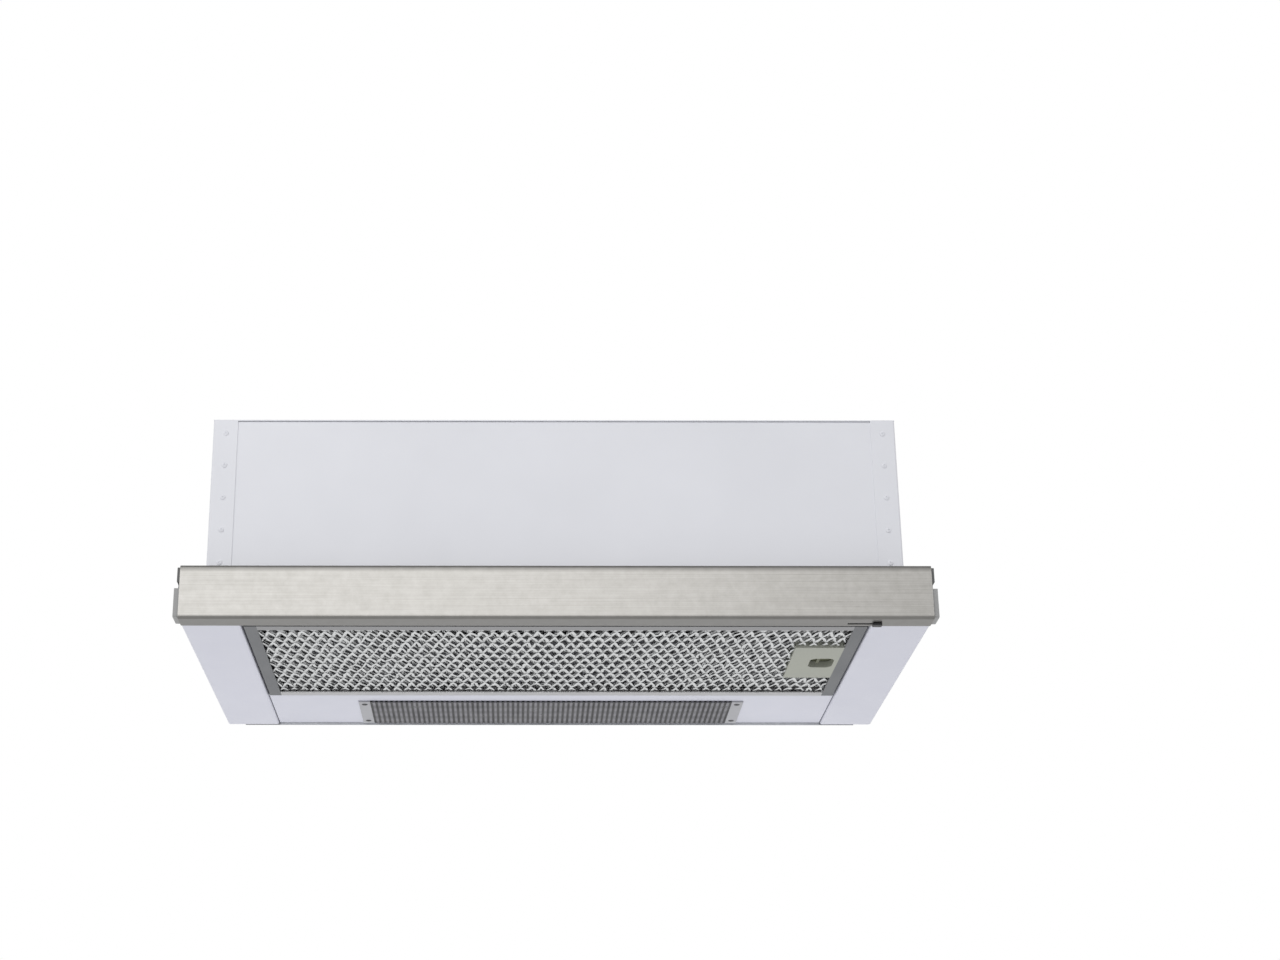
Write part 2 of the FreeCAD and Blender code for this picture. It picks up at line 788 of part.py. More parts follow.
def collar_screw_places(up):
    """Points on the collar's screw circle."""
    places = []
    for number in range(COLLAR_SCREWS):
        turn = math.radians(COLLAR_SCREW_TURN + 360 * number / COLLAR_SCREWS)
        places.append((s.collar_screw_circle * math.cos(turn),
                       collar_back + s.collar_screw_circle * math.sin(turn), up))
    return places


def casing_top_panel():
    panel = block("top_sheet", (-casing_half, casing_front, roof), (casing_half, ZERO, s.casing_height))
    low = roof - s.overrun
    deep = s.casing_sheet + s.overrun * 2
    tools = [rod("top_mouth", (ZERO, collar_back, low), collar_inner, deep),
             rod("top_gland", (gland_side, -s.gland_back, low), s.gland_shank + s.shank_clearance, deep)]
    for number, where in enumerate(collar_screw_places(low)):
        tools.append(peg("top_screw_%d" % number, where, s.collar_screw_radius + s.shank_clearance, deep))
    keep(cut("top_cut", panel, tools), "casing_top")


def casing_rivets():
    pattern = fastener("rivet_pattern", s.rivet_shank, s.casing_sheet * 2, s.rivet_head, s.rivet_height)
    group("casing_rivets", pattern, [(where, "-Y") for side in SIDES.values()
                                     for where in rivet_places(side)])


# Light panel at the back of the underside, with the lamp above it
def light_panel():
    gauge = s.casing_sheet
    low = s.light_panel_base
    rear = -gauge
    rear_top = low + s.light_panel_rear_wall
    front_top = ledge_top - gauge
    points = [(light_front, low), (rear, low), (rear, rear_top), (rear - gauge, rear_top),
              (rear - gauge, low + gauge), (light_front + gauge, low + gauge),
              (light_front + gauge, front_top), (light_front, front_top)]
    half = arm_inner - s.light_panel_gap
    tray = bar("light_fold", "YZ", points, -half, half * 2)
    fold(tray, "YZ", points[:2], s.casing_bend)
    fold(tray, "YZ", points[4:6], s.casing_bend - gauge)
    reach = s.cover_width / 2 - s.cover_tab
    window = block("light_window", (-reach, -s.cover_front + s.cover_lip, low - s.overrun),
                   (reach, -s.cover_rear - s.cover_lip, low + gauge + s.overrun))
    tools = [window]
    for number, (across, back) in enumerate(cover_screw_places()):
        tools.append(peg("light_screw_%d" % number, (across, back, low - s.overrun),
                         s.cover_screw_radius + s.shank_clearance, gauge + s.overrun * 2))
    keep(cut("light_cut", tray, tools), "light_panel")


def cross_rail():
    gauge = s.casing_sheet
    near = light_front + gauge
    points = [(light_front - s.cross_rail_ledge, ledge_top - gauge), (near, ledge_top - gauge),
              (near, ledge_top - s.cross_rail_web), (near + gauge, ledge_top - s.cross_rail_web),
              (near + gauge, ledge_top), (light_front - s.cross_rail_ledge, ledge_top)]
    half = casing_half - gauge
    rail = bar("cross_rail_fold", "YZ", points, -half, half * 2)
    fold(rail, "YZ", [points[4]], gauge)
    keep(rail, "cross_rail")


def cover_screw_places():
    """Across and back places of the lamp cover's screws."""
    across = s.cover_width / 2 - s.cover_tab / 2
    return [(side * across, -back) for side in SIDES.values()
            for back in (s.cover_screw_front, s.cover_screw_rear)]


def lamp_cover():
    """Clear plate with fine ribs along the depth and a screwed tab at each end."""
    half = (s.cover_width / 2).value
    inner = (s.cover_width / 2 - s.cover_tab).value
    top = s.light_panel_base.value
    under = (s.light_panel_base - s.cover_plate).value
    crest = (s.light_panel_base - s.cover_plate - s.cover_rib_height).value
    tab = (s.light_panel_base - s.cover_tab_thickness).value
    pitch = s.cover_rib_pitch.value
    count = int(2 * inner / pitch)
    first = -count * pitch / 2
    flat = pitch * RIB_TOP_SHARE / 2
    points = [(-half, top), (-half, tab), (-inner, tab), (-inner, under)]
    for number in range(count):
        middle = first + pitch * (number + 1 / 2)
        points += [(middle - 2 * flat, under), (middle - flat, crest), (middle + flat, crest),
                   (middle + 2 * flat, under)]
    points += [(inner, under), (inner, tab), (half, tab), (half, top)]
    near = -s.cover_front.value
    wire = Part.makePolygon([FreeCAD.Vector(across, near, up) for across, up in points + points[:1]])
    shape = Part.Face(wire).extrude(FreeCAD.Vector(0, (s.cover_front - s.cover_rear).value, 0))
    feature = doc.addObject("Part::Feature", "cover_ribs")
    feature.Shape = shape
    tools = []
    for number, (across, back) in enumerate(cover_screw_places()):
        tools.append(peg("cover_screw_%d" % number, (across, back, -s.overrun),
                         s.cover_screw_radius + s.shank_clearance, s.light_panel_base + s.overrun * 2))
    keep(cut("cover_cut", feature, tools), "lamp_cover")


def lamp_cover_screws():
    pattern = fastener("cover_screw_pattern", s.cover_screw_radius, s.cover_screw_length,
                       s.cover_screw_head, s.cover_screw_cap)
    seat = s.light_panel_base - s.cover_tab_thickness
    group("lamp_cover_screws", pattern, [((across, back, seat), "-Z")
                                         for across, back in cover_screw_places()])


def lamp_reflector():
    gauge = s.reflector_sheet
    low = s.light_panel_base + s.casing_sheet
    near = -s.reflector_front
    far = -s.reflector_rear
    high = low + s.reflector_height
    foot = s.reflector_flange
    slope = s.reflector_slope
    points = [(near, low), (near + foot + gauge, low), (near + foot + slope + gauge, high - gauge),
              (far - foot - slope - gauge, high - gauge), (far - foot - gauge, low), (far, low),
              (far, low + gauge), (far - foot, low + gauge), (far - foot - slope, high),
              (near + foot + slope, high), (near + foot, low + gauge), (near, low + gauge)]
    half = s.cover_width / 2 - s.reflector_end_gap
    keep(bar("reflector_fold", "YZ", points, -half, half * 2), "lamp_reflector")


def lamp():
    low = s.light_panel_base + s.casing_sheet
    half = s.cover_width / 2 - s.tube_margin
    cap_end = half + s.tube_cap_length
    keep(rod("tube_glass", (-half, -s.tube_back, s.tube_height), s.tube_radius, half * 2, "X"), "lamp_tube")
    pattern = rod("tube_cap_pattern", (ZERO, ZERO, ZERO), s.tube_radius, s.tube_cap_length)
    group("lamp_tube_caps", pattern, [((half, -s.tube_back, s.tube_height), "X"),
                                      ((-half, -s.tube_back, s.tube_height), "-X")])
    for name, side in SIDES.items():
        left, right = span(side, cap_end, cap_end + s.holder_width)
        reach = s.holder_depth / 2
        high = s.tube_height + s.tube_radius + s.holder_wall
        points = [(-s.tube_back - reach, low), (-s.tube_back + reach, low), (-s.tube_back + reach, high),
                  (-s.tube_back - reach, high)]
        holder = bar("holder_" + name, "YZ", points, left, right - left)
        fold(holder, "YZ", points[2:], s.holder_wall)
        keep(holder, "lampholder_" + name)


# Mesh filters
def channel_frame(prefix, low, high):
    """Folded channel that runs round a filter, open towards the mesh."""
    flange = s.filter_flange
    gauge = s.filter_sheet
    outer = block(prefix + "_outer", low, high)
    window = block(prefix + "_window", (low[0] + flange, low[1] + flange, low[2] - s.overrun),
                   (high[0] - flange, high[1] - flange, high[2] + s.overrun))
    hollow = block(prefix + "_hollow", (low[0] + gauge, low[1] + gauge, low[2] + gauge),
                   (high[0] - gauge, high[1] - gauge, high[2] - gauge))
    return outer, [window, hollow]


def flat_wire(corners, up):
    """Closed outline at one level."""
    return Part.makePolygon([FreeCAD.Vector(x, y, up) for x, y in corners + corners[:1]])


def mesh_pads(low, high, notch):
    """Left, near, right and far edges of a mesh's pads: one, or three round a latch plate."""
    left, near = low[0].value, low[1].value
    right, far = high[0].value, high[1].value
    if not notch:
        return [(left, near, right, far)]
    start, notch_near, notch_far = [size.value for size in notch]
    beside = start + s.mesh_pad_gap.value
    return [(left, near, start, far), (beside, near, right, notch_near), (beside, notch_far, right, far)]


def cell_middles(low, high, cell):
    """Middles of the cells that fill a stretch, and the length of one cell."""
    count = max(1, round((high - low) / cell))
    step = (high - low) / count
    return [low + step * (number + 1 / 2) for number in range(count)], step


def diamonds(edges, cell, cell_depth):
    """Outlines of the openings of one pad: a grid of diamonds and a second grid between them."""
    margin = s.filter_seat.value
    strand = s.mesh_strand.value
    left, near, right, far = edges
    across, step_across = cell_middles(left + margin, right - margin, cell.value)
    back, step_back = cell_middles(near + margin, far - margin, cell_depth.value)
    middles = [(x, y) for x in across for y in back]
    middles += [(x + step_across / 2, y + step_back / 2) for x in across[:-1] for y in back[:-1]]
    half_across = (step_across - strand) / 2
    half_back = (step_back - strand) / 2
    return [[(x - half_across, y), (x, y - half_back), (x + half_across, y), (x, y + half_back)]
            for x, y in middles]


def mesh_plate(label, low, high, cell, cell_depth, notch=None):
    """Expanded sheet with diamond openings, cut into pads where a latch plate needs room."""
    base = low[2].value
    top = high[2].value
    pads = []
    for edges in mesh_pads(low, high, notch):
        left, near, right, far = edges
        corners = [(left, near), (right, near), (right, far), (left, far)]
        wires = [flat_wire(points, base) for points in [corners] + diamonds(edges, cell, cell_depth)]
        face = Part.makeFace(Part.makeCompound(wires), "Part::FaceMakerBullseye")
        pads.append(face.extrude(FreeCAD.Vector(0, 0, top - base)))
    feature = doc.addObject("Part::Feature", label + "_sheet")
    feature.Shape = Part.makeCompound(pads)
    keep(feature, label)


def rail_outline(near, far):
    """Channel open towards far, drawn across and up."""
    gauge = s.filter_sheet
    low = s.filter_base
    wall = near + gauge
    if near.value > far.value:
        wall = near - gauge
    return [(near, low), (far, low), (far, low + gauge), (wall, low + gauge), (wall, filter_top - gauge),
            (far, filter_top - gauge), (far, filter_top), (near, filter_top)]


def visor_filter():
    flange = s.filter_flange
    inner = filter_half - flange
    for name, near, far in (("front", filter_front, filter_front + flange),
                            ("rear", filter_rear, filter_rear - flange)):
        rail = bar("filter_rail_" + name, "YZ", rail_outline(near, far), -inner, inner * 2)
        keep(rail, "filter_%s_rail" % name)
    length = filter_rear - filter_front
    reach = s.latch_nose_length / 2 + s.latch_clearance
    bar_low, bar_high = latch_bar_levels()
    nose_slot = block("filter_nose_slot", (filter_half - s.filter_sheet - s.overrun, filter_middle - reach,
                                           bar_low - s.latch_clearance),
                      (filter_half + s.overrun, filter_middle + reach, bar_high + s.latch_clearance))
    pin_blocks = []
    pin_holes = []
    for name, (start, turn) in pivot_starts().items():
        edge = filter_front if name == "front" else filter_rear - s.pivot_reach
        pin_blocks.append(block("filter_pin_block_" + name, (-filter_half, edge, s.filter_base),
                                (-inner, edge + s.pivot_reach, filter_top)))
        pin_holes.append(rod("filter_pin_hole_" + name, start, s.pivot_radius, pivot_length(), turn))
    left = bar("filter_rail_left", "XZ", rail_outline(-filter_half, -inner), filter_front, length)
    left = cut("filter_left_cut", fuse("filter_left_joined", [left] + pin_blocks), pin_holes)
    keep(left, "filter_left_rail")
    right = bar("filter_rail_right", "XZ", rail_outline(filter_half, inner), filter_front, length)
    keep(cut("filter_right_cut", right, [nose_slot]), "filter_right_rail")
    seat = flange - s.filter_seat
    gauge = s.filter_sheet
    plate_side = inner - s.latch_width
    mesh_plate("filter_mesh", (-filter_half + seat, filter_front + seat, s.filter_base + gauge),
               (filter_half - seat, filter_rear - seat, filter_top - gauge), s.mesh_cell, s.mesh_cell_depth,
               (plate_side, filter_middle - s.latch_length / 2, filter_middle + s.latch_length / 2))


def pivot_length():
    """Pin from the outside of its bracket to its end inside the frame."""
    return s.filter_end_gap / 2 + s.bracket_thickness / 2 + s.pivot_reach


def pivot_starts():
    """Outer end and direction of each pivot pin."""
    reach = s.filter_end_gap / 2 + s.bracket_thickness / 2
    return {"front": ((pivot_side, filter_front - reach, s.pivot_height), "Y"),
            "rear": ((pivot_side, filter_rear + reach, s.pivot_height), "-Y")}


def filter_pivots():
    pattern = rod("pivot_pattern", (ZERO, ZERO, ZERO), s.pivot_radius, pivot_length())
    group("pivot_pins", pattern, list(pivot_starts().values()))
    plates = []
    gap = s.filter_end_gap / 2
    for name, middle in (("front", filter_front - gap), ("rear", filter_rear + gap)):
        low = (-arm_inner, middle - s.bracket_thickness / 2, s.bracket_base)
        high = (-arm_inner + s.bracket_width, middle + s.bracket_thickness / 2,
                s.bracket_base + s.bracket_height)
        hole = rod("bracket_hole_" + name, (pivot_side, low[1] - s.overrun, s.pivot_height),
                   s.pivot_radius + s.running_clearance, s.bracket_thickness + s.overrun * 2, "Y")
        plates.append(cut("bracket_cut_" + name, block("bracket_" + name, low, high), [hole]))
    brackets = doc.addObject("Part::Compound", "brackets")
    brackets.Links = plates
    keep(brackets, "pivot_brackets")


# Latch plate in the filter, with its sprung slider
def latch_bar_levels():
    """Underside and top of the latch slider's bar."""
    high = filter_top - s.latch_bar_roof
    return high - s.latch_bar_thickness, high


def latch():
    right = filter_half - s.filter_flange
    left = right - s.latch_width
    reach = s.latch_length / 2
    corner_points = [(left, filter_middle - reach), (right, filter_middle - reach),
                     (right, filter_middle + reach), (left, filter_middle + reach)]
    plate = bar("latch_plate_pad", "XY", corner_points, s.filter_base, s.filter_thickness)
    window_right = right - s.latch_window_inset
    window_left = window_right - s.latch_window_width
    window_reach = s.latch_window_length / 2
    window_near = filter_middle - window_reach
    window_far = filter_middle + window_reach
    window_points = [(window_left, window_near), (window_right, window_near),
                     (window_right, window_far), (window_left, window_far)]
    bar_low, bar_high = latch_bar_levels()
    window = bar("latch_window_pad", "XY", window_points, s.filter_base - s.overrun,
                 bar_low - s.filter_base + s.overrun + s.latch_clearance)
    fold(window, "XY", window_points, s.latch_window_corner)
    bar_reach = window_reach + s.latch_bar_side
    bar_left = window_left - s.latch_travel - s.latch_tail
    guide = block("latch_guide", (bar_left - s.latch_travel - s.latch_clearance,
                                  filter_middle - bar_reach - s.latch_clearance, bar_low - s.latch_clearance),
                  (right + s.overrun, filter_middle + bar_reach + s.latch_clearance,
                   bar_high + s.latch_clearance))
    keep(cut("latch_cut", plate, [window, guide]), "latch_plate")
    strap = block("latch_strap", (bar_left, filter_middle - bar_reach, bar_low),
                  (right - s.latch_clearance, filter_middle + bar_reach, bar_high))
    nose_reach = s.latch_nose_length / 2
    nose = block("latch_nose", (right - s.latch_clearance * 2, filter_middle - nose_reach, bar_low),
                 (arm_inner - s.latch_nose_gap, filter_middle + nose_reach, bar_high))
    tab_left = window_left + s.latch_travel + s.latch_clearance
    tab_reach = window_reach - s.latch_window_corner
    tab = block("latch_tab", (tab_left, filter_middle - tab_reach, bar_low - s.latch_tab_drop),
                (tab_left + s.latch_tab_thickness, filter_middle + tab_reach, bar_low + s.latch_clearance))
    keep(fuse("latch_bar", [strap, nose, tab]), "latch_slider")


# Speed slider under the strip
def speed_control():
    low = s.trim_sheet + s.backer_sheet
    half = s.switch_width / 2
    middle = knob_side - s.knob_travel / 2
    body = block("switch_case", (middle - half, trim_back - s.backer_sheet - s.switch_depth, low),
                 (middle + half, trim_back - s.backer_sheet, low + s.switch_height))
    reach = s.knob_stem_depth / 2 + s.knob_clearance
    groove = block("switch_groove_cut",
                   (knob_side - s.knob_travel - s.knob_stem_width / 2 - s.knob_clearance,
                    knob_middle - reach, low - s.overrun),
                   (knob_side + s.knob_stem_width / 2 + s.knob_clearance, knob_middle + reach,
                    low + s.switch_groove))
    keep(cut("switch_cut", body, [groove]), "speed_switch")
    half_wide = s.knob_width / 2
    half_deep = s.knob_depth / 2
    cap_points = [(knob_middle - half_deep, -s.knob_drop), (knob_middle + half_deep, -s.knob_drop),
                  (knob_middle + half_deep, -s.knob_clearance), (knob_middle - half_deep, -s.knob_clearance)]
    cap = bar("knob_cap", "YZ", cap_points, knob_side - half_wide, s.knob_width)
    fold(cap, "YZ", cap_points[:2], s.knob_clearance * 2)
    stem_half = s.knob_stem_width / 2
    stem = block("knob_stem", (knob_side - stem_half, knob_middle - s.knob_stem_depth / 2, -s.knob_drop / 2),
                 (knob_side + stem_half, knob_middle + s.knob_stem_depth / 2,
                  low + s.switch_groove - s.knob_clearance))
    keep(fuse("knob", [cap, stem]), "speed_knob")


# Inner grease filter, which lies on the casing's ledges
def inner_filter():
    half = casing_half - s.casing_sheet - s.inner_filter_side_gap
    near = casing_front + s.casing_sheet * 2 + s.inner_filter_front_gap
    far = light_front - s.inner_filter_rear_gap
    low = (-half, near, ledge_top)
    high = (half, far, ledge_top + s.filter_thickness)
    outer, tools = channel_frame("inner_filter", low, high)
    keep(cut("inner_filter_cut", outer, tools), "inner_filter_frame")
    seat = s.filter_flange - s.filter_seat
    mesh_plate("inner_filter_mesh", (-half + seat, near + seat, ledge_top + s.filter_sheet),
               (half - seat, far - seat, ledge_top + s.filter_thickness - s.filter_sheet),
               s.inner_mesh_cell, s.inner_mesh_cell_depth)


# Blower scroll, in two shells joined at the middle
def scroll_face(inset, up, across):
    """Scroll outline at a distance inside the outer wall: three growing arcs and a straight throat."""
    first = scroll_first.value - inset
    second = scroll_second.value - inset
    third = scroll_third.value - inset
    shift = s.scroll_first_step.value
    lift = s.scroll_second_step.value
    back = axis_back.value
    height = axis_height.value

    def point(y, z):
        return FreeCAD.Vector(across, back + y, height + z)

    def arc(y, z, radius, start, end):
        angles = [math.radians(start), math.radians((start + end) / 2), math.radians(end)]
        return Part.Arc(*[point(y + radius * math.cos(turn), z + radius * math.sin(turn))
                          for turn in angles]).toShape()

    rear = shift + third
    edges = [Part.LineSegment(point(0, up), point(0, first)).toShape(), arc(0, 0, first, 90, 180),
             arc(shift, 0, second, 180, 270), arc(shift, lift, third, 270, 360),
             Part.LineSegment(point(rear, lift), point(rear, up)).toShape(),
             Part.LineSegment(point(rear, up), point(0, up)).toShape()]
    return Part.Face(Part.Wire(edges))


def scroll_shell(name, side):
    half = (s.scroll_width / 2).value * side
    wall = s.scroll_wall.value
    top = throat_height.value
    outer = scroll_face(0, top, 0).extrude(FreeCAD.Vector(half, 0, 0))
    inner = scroll_face(wall, top + s.overrun.value, 0)
    inner = inner.extrude(FreeCAD.Vector(half - wall * side, 0, 0))
    throat_wall = Part.makeBox(abs(half), wall, top - (scroll_first - s.scroll_wall).value,
                               FreeCAD.Vector(min(0, half), axis_back.value,
                                              (axis_height + scroll_first - s.scroll_wall).value))
    reach = s.scroll_flange.value
    flange = Part.makeBox(abs(half) + reach, scroll_rear.value - axis_back.value + 2 * reach, wall,
                          FreeCAD.Vector(min(0, half - reach), axis_back.value - reach, roof.value - wall))
    ring_outer = Part.makeCylinder((inlet_radius + s.inlet_ring_wall).value,
                                   (s.inlet_ring_length + s.scroll_wall).value,
                                   FreeCAD.Vector(half - wall * side, axis_back.value, axis_height.value),
                                   FreeCAD.Vector(side, 0, 0))
    mouth = Part.makeCylinder(inlet_radius.value, s.scroll_width.value,
                              FreeCAD.Vector(0, axis_back.value, axis_height.value),
                              FreeCAD.Vector(side, 0, 0))
    throat = Part.makeBox(abs(half) - wall, scroll_rear.value - axis_back.value - 2 * wall, top,
                          FreeCAD.Vector(min(0, half + wall), axis_back.value + wall, axis_height.value))
    screw_holes = [Part.makeCylinder((s.collar_screw_radius + s.shank_clearance).value,
                                     wall + 2 * s.overrun.value, vector(*where))
                   for where in collar_screw_places(roof - s.scroll_wall - s.overrun)]
    shape = outer.cut(inner).fuse([throat_wall, ring_outer, flange])
    shape = shape.cut([mouth, throat] + screw_holes).removeSplitter()
    feature = doc.addObject("Part::Feature", "scroll_" + name)
    feature.Shape = shape
    keep(feature, "scroll_" + name)


def blade_face(across):
    """Forward-curved blade between the wheel's inner and outer radius."""
    thick = s.blade_thickness.value / 2
    inner = (wheel_inner + s.blade_thickness).value
    outer = (wheel_radius - s.blade_thickness).value
    lean = (outer - inner) * BLADE_LEAN_SHARE
    bulge = s.blade_bulge.value
    middle = (inner + outer) / 2

    def point(radius, offset):
        return FreeCAD.Vector(across, radius, offset)

    lower = Part.Arc(point(inner, -thick), point(middle, lean / 2 - bulge - thick),
                     point(outer, lean - thick)).toShape()
    upper = Part.Arc(point(outer, lean + thick), point(middle, lean / 2 - bulge + thick),
                     point(inner, thick)).toShape()
    tip = Part.LineSegment(point(outer, lean - thick), point(outer, lean + thick)).toShape()
    root = Part.LineSegment(point(inner, thick), point(inner, -thick)).toShape()
    return Part.Face(Part.Wire([lower, tip, upper, root]))


def ring(across, length, outer, inner):
    """Tube along X from a start place."""
    start = FreeCAD.Vector(across, 0, 0)
    along = FreeCAD.Vector(1, 0, 0)
    return Part.makeCylinder(outer, length, start, along).cut(Part.makeCylinder(inner, length, start, along))


def impeller():
    """Drum wheel: blades between two end rings, carried by a disc and boss on the shaft."""
    half = (s.wheel_width / 2).value
    along = FreeCAD.Vector(1, 0, 0)
    blade = blade_face((s.wheel_ring - s.wheel_width).value / 2)
    blade = blade.extrude(along * (s.wheel_width - s.wheel_ring).value)
    blades = []
    for number in range(BLADE_COUNT):
        copy = blade.copy()
        copy.rotate(FreeCAD.Vector(), along, 360 * number / BLADE_COUNT)
        blades.append(copy)
    disc = s.wheel_disc.value
    edge = s.wheel_ring.value
    rim = wheel_radius.value
    inner = wheel_inner.value
    boss = s.wheel_boss_length.value
    bore = s.shaft_radius.value
    rings = [ring(-half, edge, rim, inner), ring(half - edge, edge, rim, inner),
             ring(-disc / 2, disc, rim, bore), ring(-boss / 2, boss, s.wheel_boss_radius.value, bore)]
    feature = doc.addObject("Part::Feature", "wheel")
    feature.Shape = rings[0].fuse(rings[1:] + blades).removeSplitter()
    feature.Placement = FreeCAD.Placement(vector(0, axis_back, axis_height), FreeCAD.Rotation())
    keep(feature, "impeller")


# Motor beside the scroll, on a three-armed spider
def motor():
    bell = s.motor_bell_length
    where = (motor_end, axis_back, axis_height)
    bore = s.shaft_radius + s.running_clearance
    shape = [(bore, ZERO), (s.motor_bell_radius - s.motor_bell_slope, ZERO),
             (s.motor_bell_radius, s.motor_bell_slope), (s.motor_bell_radius, bell), (bore, bell)]
    keep(turned("bell_near", shape, where, "-X"), "motor_bell_right")
    stack_start = motor_end - bell
    stack = [(s.motor_stack_bore, ZERO), (s.motor_radius, ZERO), (s.motor_radius, s.motor_stack_length),
             (s.motor_stack_bore, s.motor_stack_length)]
    keep(turned("stack", stack, (stack_start, axis_back, axis_height), "-X"), "motor_stack")
    far_end = stack_start - s.motor_stack_length - bell
    keep(turned("bell_far", shape, (far_end, axis_back, axis_height), "X"), "motor_bell_left")
    shaft_start = far_end - s.shaft_tip
    keep(rod("shaft", (shaft_start, axis_back, axis_height), s.shaft_radius,
             s.wheel_boss_length / 2 + s.shaft_tip - shaft_start, "X"), "motor_shaft")


def motor_spider():
    hub = (s.motor_gap - s.spider_thickness).value
    start = motor_end.value
    arm_length = foot_circle.value
    along = FreeCAD.Vector(1, 0, 0)
    pieces = []
    for number in range(SPIDER_ARMS):
        wing = Part.makeBox(s.spider_thickness.value, s.spider_arm.value, arm_length,
                            FreeCAD.Vector(0, -s.spider_arm.value / 2, 0))
        pad = Part.makeCylinder(s.spider_arm.value / 2, s.spider_thickness.value,
                                FreeCAD.Vector(0, 0, arm_length), along)
        foot = Part.makeCylinder(s.spider_foot_radius.value, hub,
                                 FreeCAD.Vector(s.spider_thickness.value, 0, arm_length), along)
        for piece in (wing, pad, foot):
            piece.rotate(FreeCAD.Vector(), along, 360 * number / SPIDER_ARMS)
            pieces.append(piece)
    plate = Part.makeCylinder(s.spider_hub.value, s.spider_thickness.value, FreeCAD.Vector(), along)
    bore = Part.makeCylinder((s.shaft_radius * 2).value, s.spider_thickness.value, FreeCAD.Vector(), along)
    feature = doc.addObject("Part::Feature", "spider")
    feature.Shape = plate.fuse(pieces).cut(bore).removeSplitter()
    feature.Placement = FreeCAD.Placement(FreeCAD.Vector(start, axis_back.value, axis_height.value),
                                          FreeCAD.Rotation())
    keep(feature, "motor_spider")


# Terminal box, capacitor and cable gland
def electrics():
    wall = s.box_wall
    low = (box_side - s.box_width, -s.casing_hem - s.box_depth, roof - s.box_drop - s.box_height)
    high = (box_side, -s.casing_hem, roof - s.box_drop)
    case = block("box_case", low, (high[0], -s.casing_sheet, high[2]))
    room = block("box_room", (low[0] + wall, low[1] - s.overrun, low[2] + wall),
                 (high[0] - wall, -s.casing_sheet - wall, high[2] - wall))
    keep(cut("box_cut", case, [room]), "terminal_box")
    lid = block("box_lid", (low[0], low[1] - wall, low[2]), (high[0], low[1], high[2]))
    keep(lid, "terminal_lid")
    rim = s.capacitor_rim
    long = s.capacitor_length
    radius = s.capacitor_radius
    points = [(ZERO, ZERO), (radius, ZERO), (radius, long - rim), (radius - rim, long), (ZERO, long)]
    keep(turned("capacitor_can", points, (low[0], (low[1] + high[1]) / 2, (low[2] + high[2]) / 2), "-X"),
         "capacitor")
    bore = s.gland_bore
    top = s.gland_height
    points = [(bore, -s.gland_shank_length), (s.gland_shank, -s.gland_shank_length), (s.gland_shank, ZERO),
              (s.gland_radius, ZERO), (s.gland_radius, s.gland_flange), (s.gland_cap_radius, s.gland_flange),
              (s.gland_cap_radius, top - bore / 2), (s.gland_cap_radius - bore / 2, top), (bore, top)]
    keep(turned("gland", points, (gland_side, -s.gland_back, s.casing_height)), "cable_gland")


# Duct collar with its two gravity flaps
def duct_collar():
    ledge_inner = collar_inner - s.collar_ledge_width
    ledge = s.collar_ledge_height
    points = [(collar_inner, ZERO), (s.collar_flange_radius, ZERO), (s.collar_flange_radius, s.collar_flange),
              (s.collar_radius, s.collar_flange), (s.collar_radius, s.collar_height),
              (collar_inner, s.collar_height), (collar_inner, ledge), (ledge_inner, ledge),
              (ledge_inner, ledge - s.collar_ledge), (collar_inner, ledge - s.collar_ledge)]
    collar = turned("collar_turn", points, (ZERO, collar_back, s.casing_height))
    tools = [flap_pin_rod("collar_pin_hole")]
    deep = s.collar_flange + s.overrun * 2
    for number, where in enumerate(collar_screw_places(s.casing_height - s.overrun)):
        tools.append(peg("collar_hole_%d" % number, where, s.collar_screw_radius + s.shank_clearance, deep))
    keep(cut("collar_cut", collar, tools), "duct_collar")


def collar_screws():
    pattern = fastener("collar_screw_pattern", s.collar_screw_radius, s.collar_screw_length,
                       s.collar_screw_head, s.collar_screw_cap)
    group("collar_screws", pattern, [(where, "Z")
                                     for where in collar_screw_places(s.casing_height + s.collar_flange)])


def flap_pin_rod(name):
    """Pin across the collar, its ends let into the wall."""
    reach = collar_inner + s.flap_pin_seat
    return rod(name, (ZERO, collar_back - reach, flap_height), s.flap_pin_radius, reach * 2, "Y")


def flap(name, side):
    """Half disc with hinge barrels on the pin: one in the middle on the right, two outside on the left."""
    radius = collar_inner - s.flap_clearance
    low = flap_height - s.flap_thickness / 2
    high = flap_height + s.flap_thickness / 2
    disc = rod("flap_disc_" + name, (ZERO, collar_back, low), radius, s.flap_thickness)
    left, right = span(side, s.flap_edge, radius + s.overrun)
    half = block("flap_half_" + name, (left, collar_back - radius - s.overrun, low - s.overrun),
                 (right, collar_back + radius + s.overrun, high + s.overrun))
    pieces = [common("flap_plate_" + name, disc, half)]
    middle = s.flap_middle / 2
    outer = middle + s.flap_barrel_gap
    stretches = [(-middle, s.flap_middle)]
    if side < 0:
        stretches = [(outer, s.flap_outer_barrel), (-outer - s.flap_outer_barrel, s.flap_outer_barrel)]
    for number, (start, length) in enumerate(stretches):
        begin = collar_back + start
        pieces.append(rod("flap_barrel_%s_%d" % (name, number), (ZERO, begin, flap_height), s.flap_barrel,
                          length, "Y"))
        left, right = span(side, ZERO, s.flap_edge + s.overrun)
        pieces.append(block("flap_neck_%s_%d" % (name, number), (left, begin, low),
                            (right, begin + length, high)))
    bore = rod("flap_bore_" + name, (ZERO, collar_back - radius, flap_height),
               s.flap_pin_radius + s.running_clearance, radius * 2, "Y")
    keep(cut("flap_cut_" + name, fuse("flap_joined_" + name, pieces), [bore]), "flap_" + name)


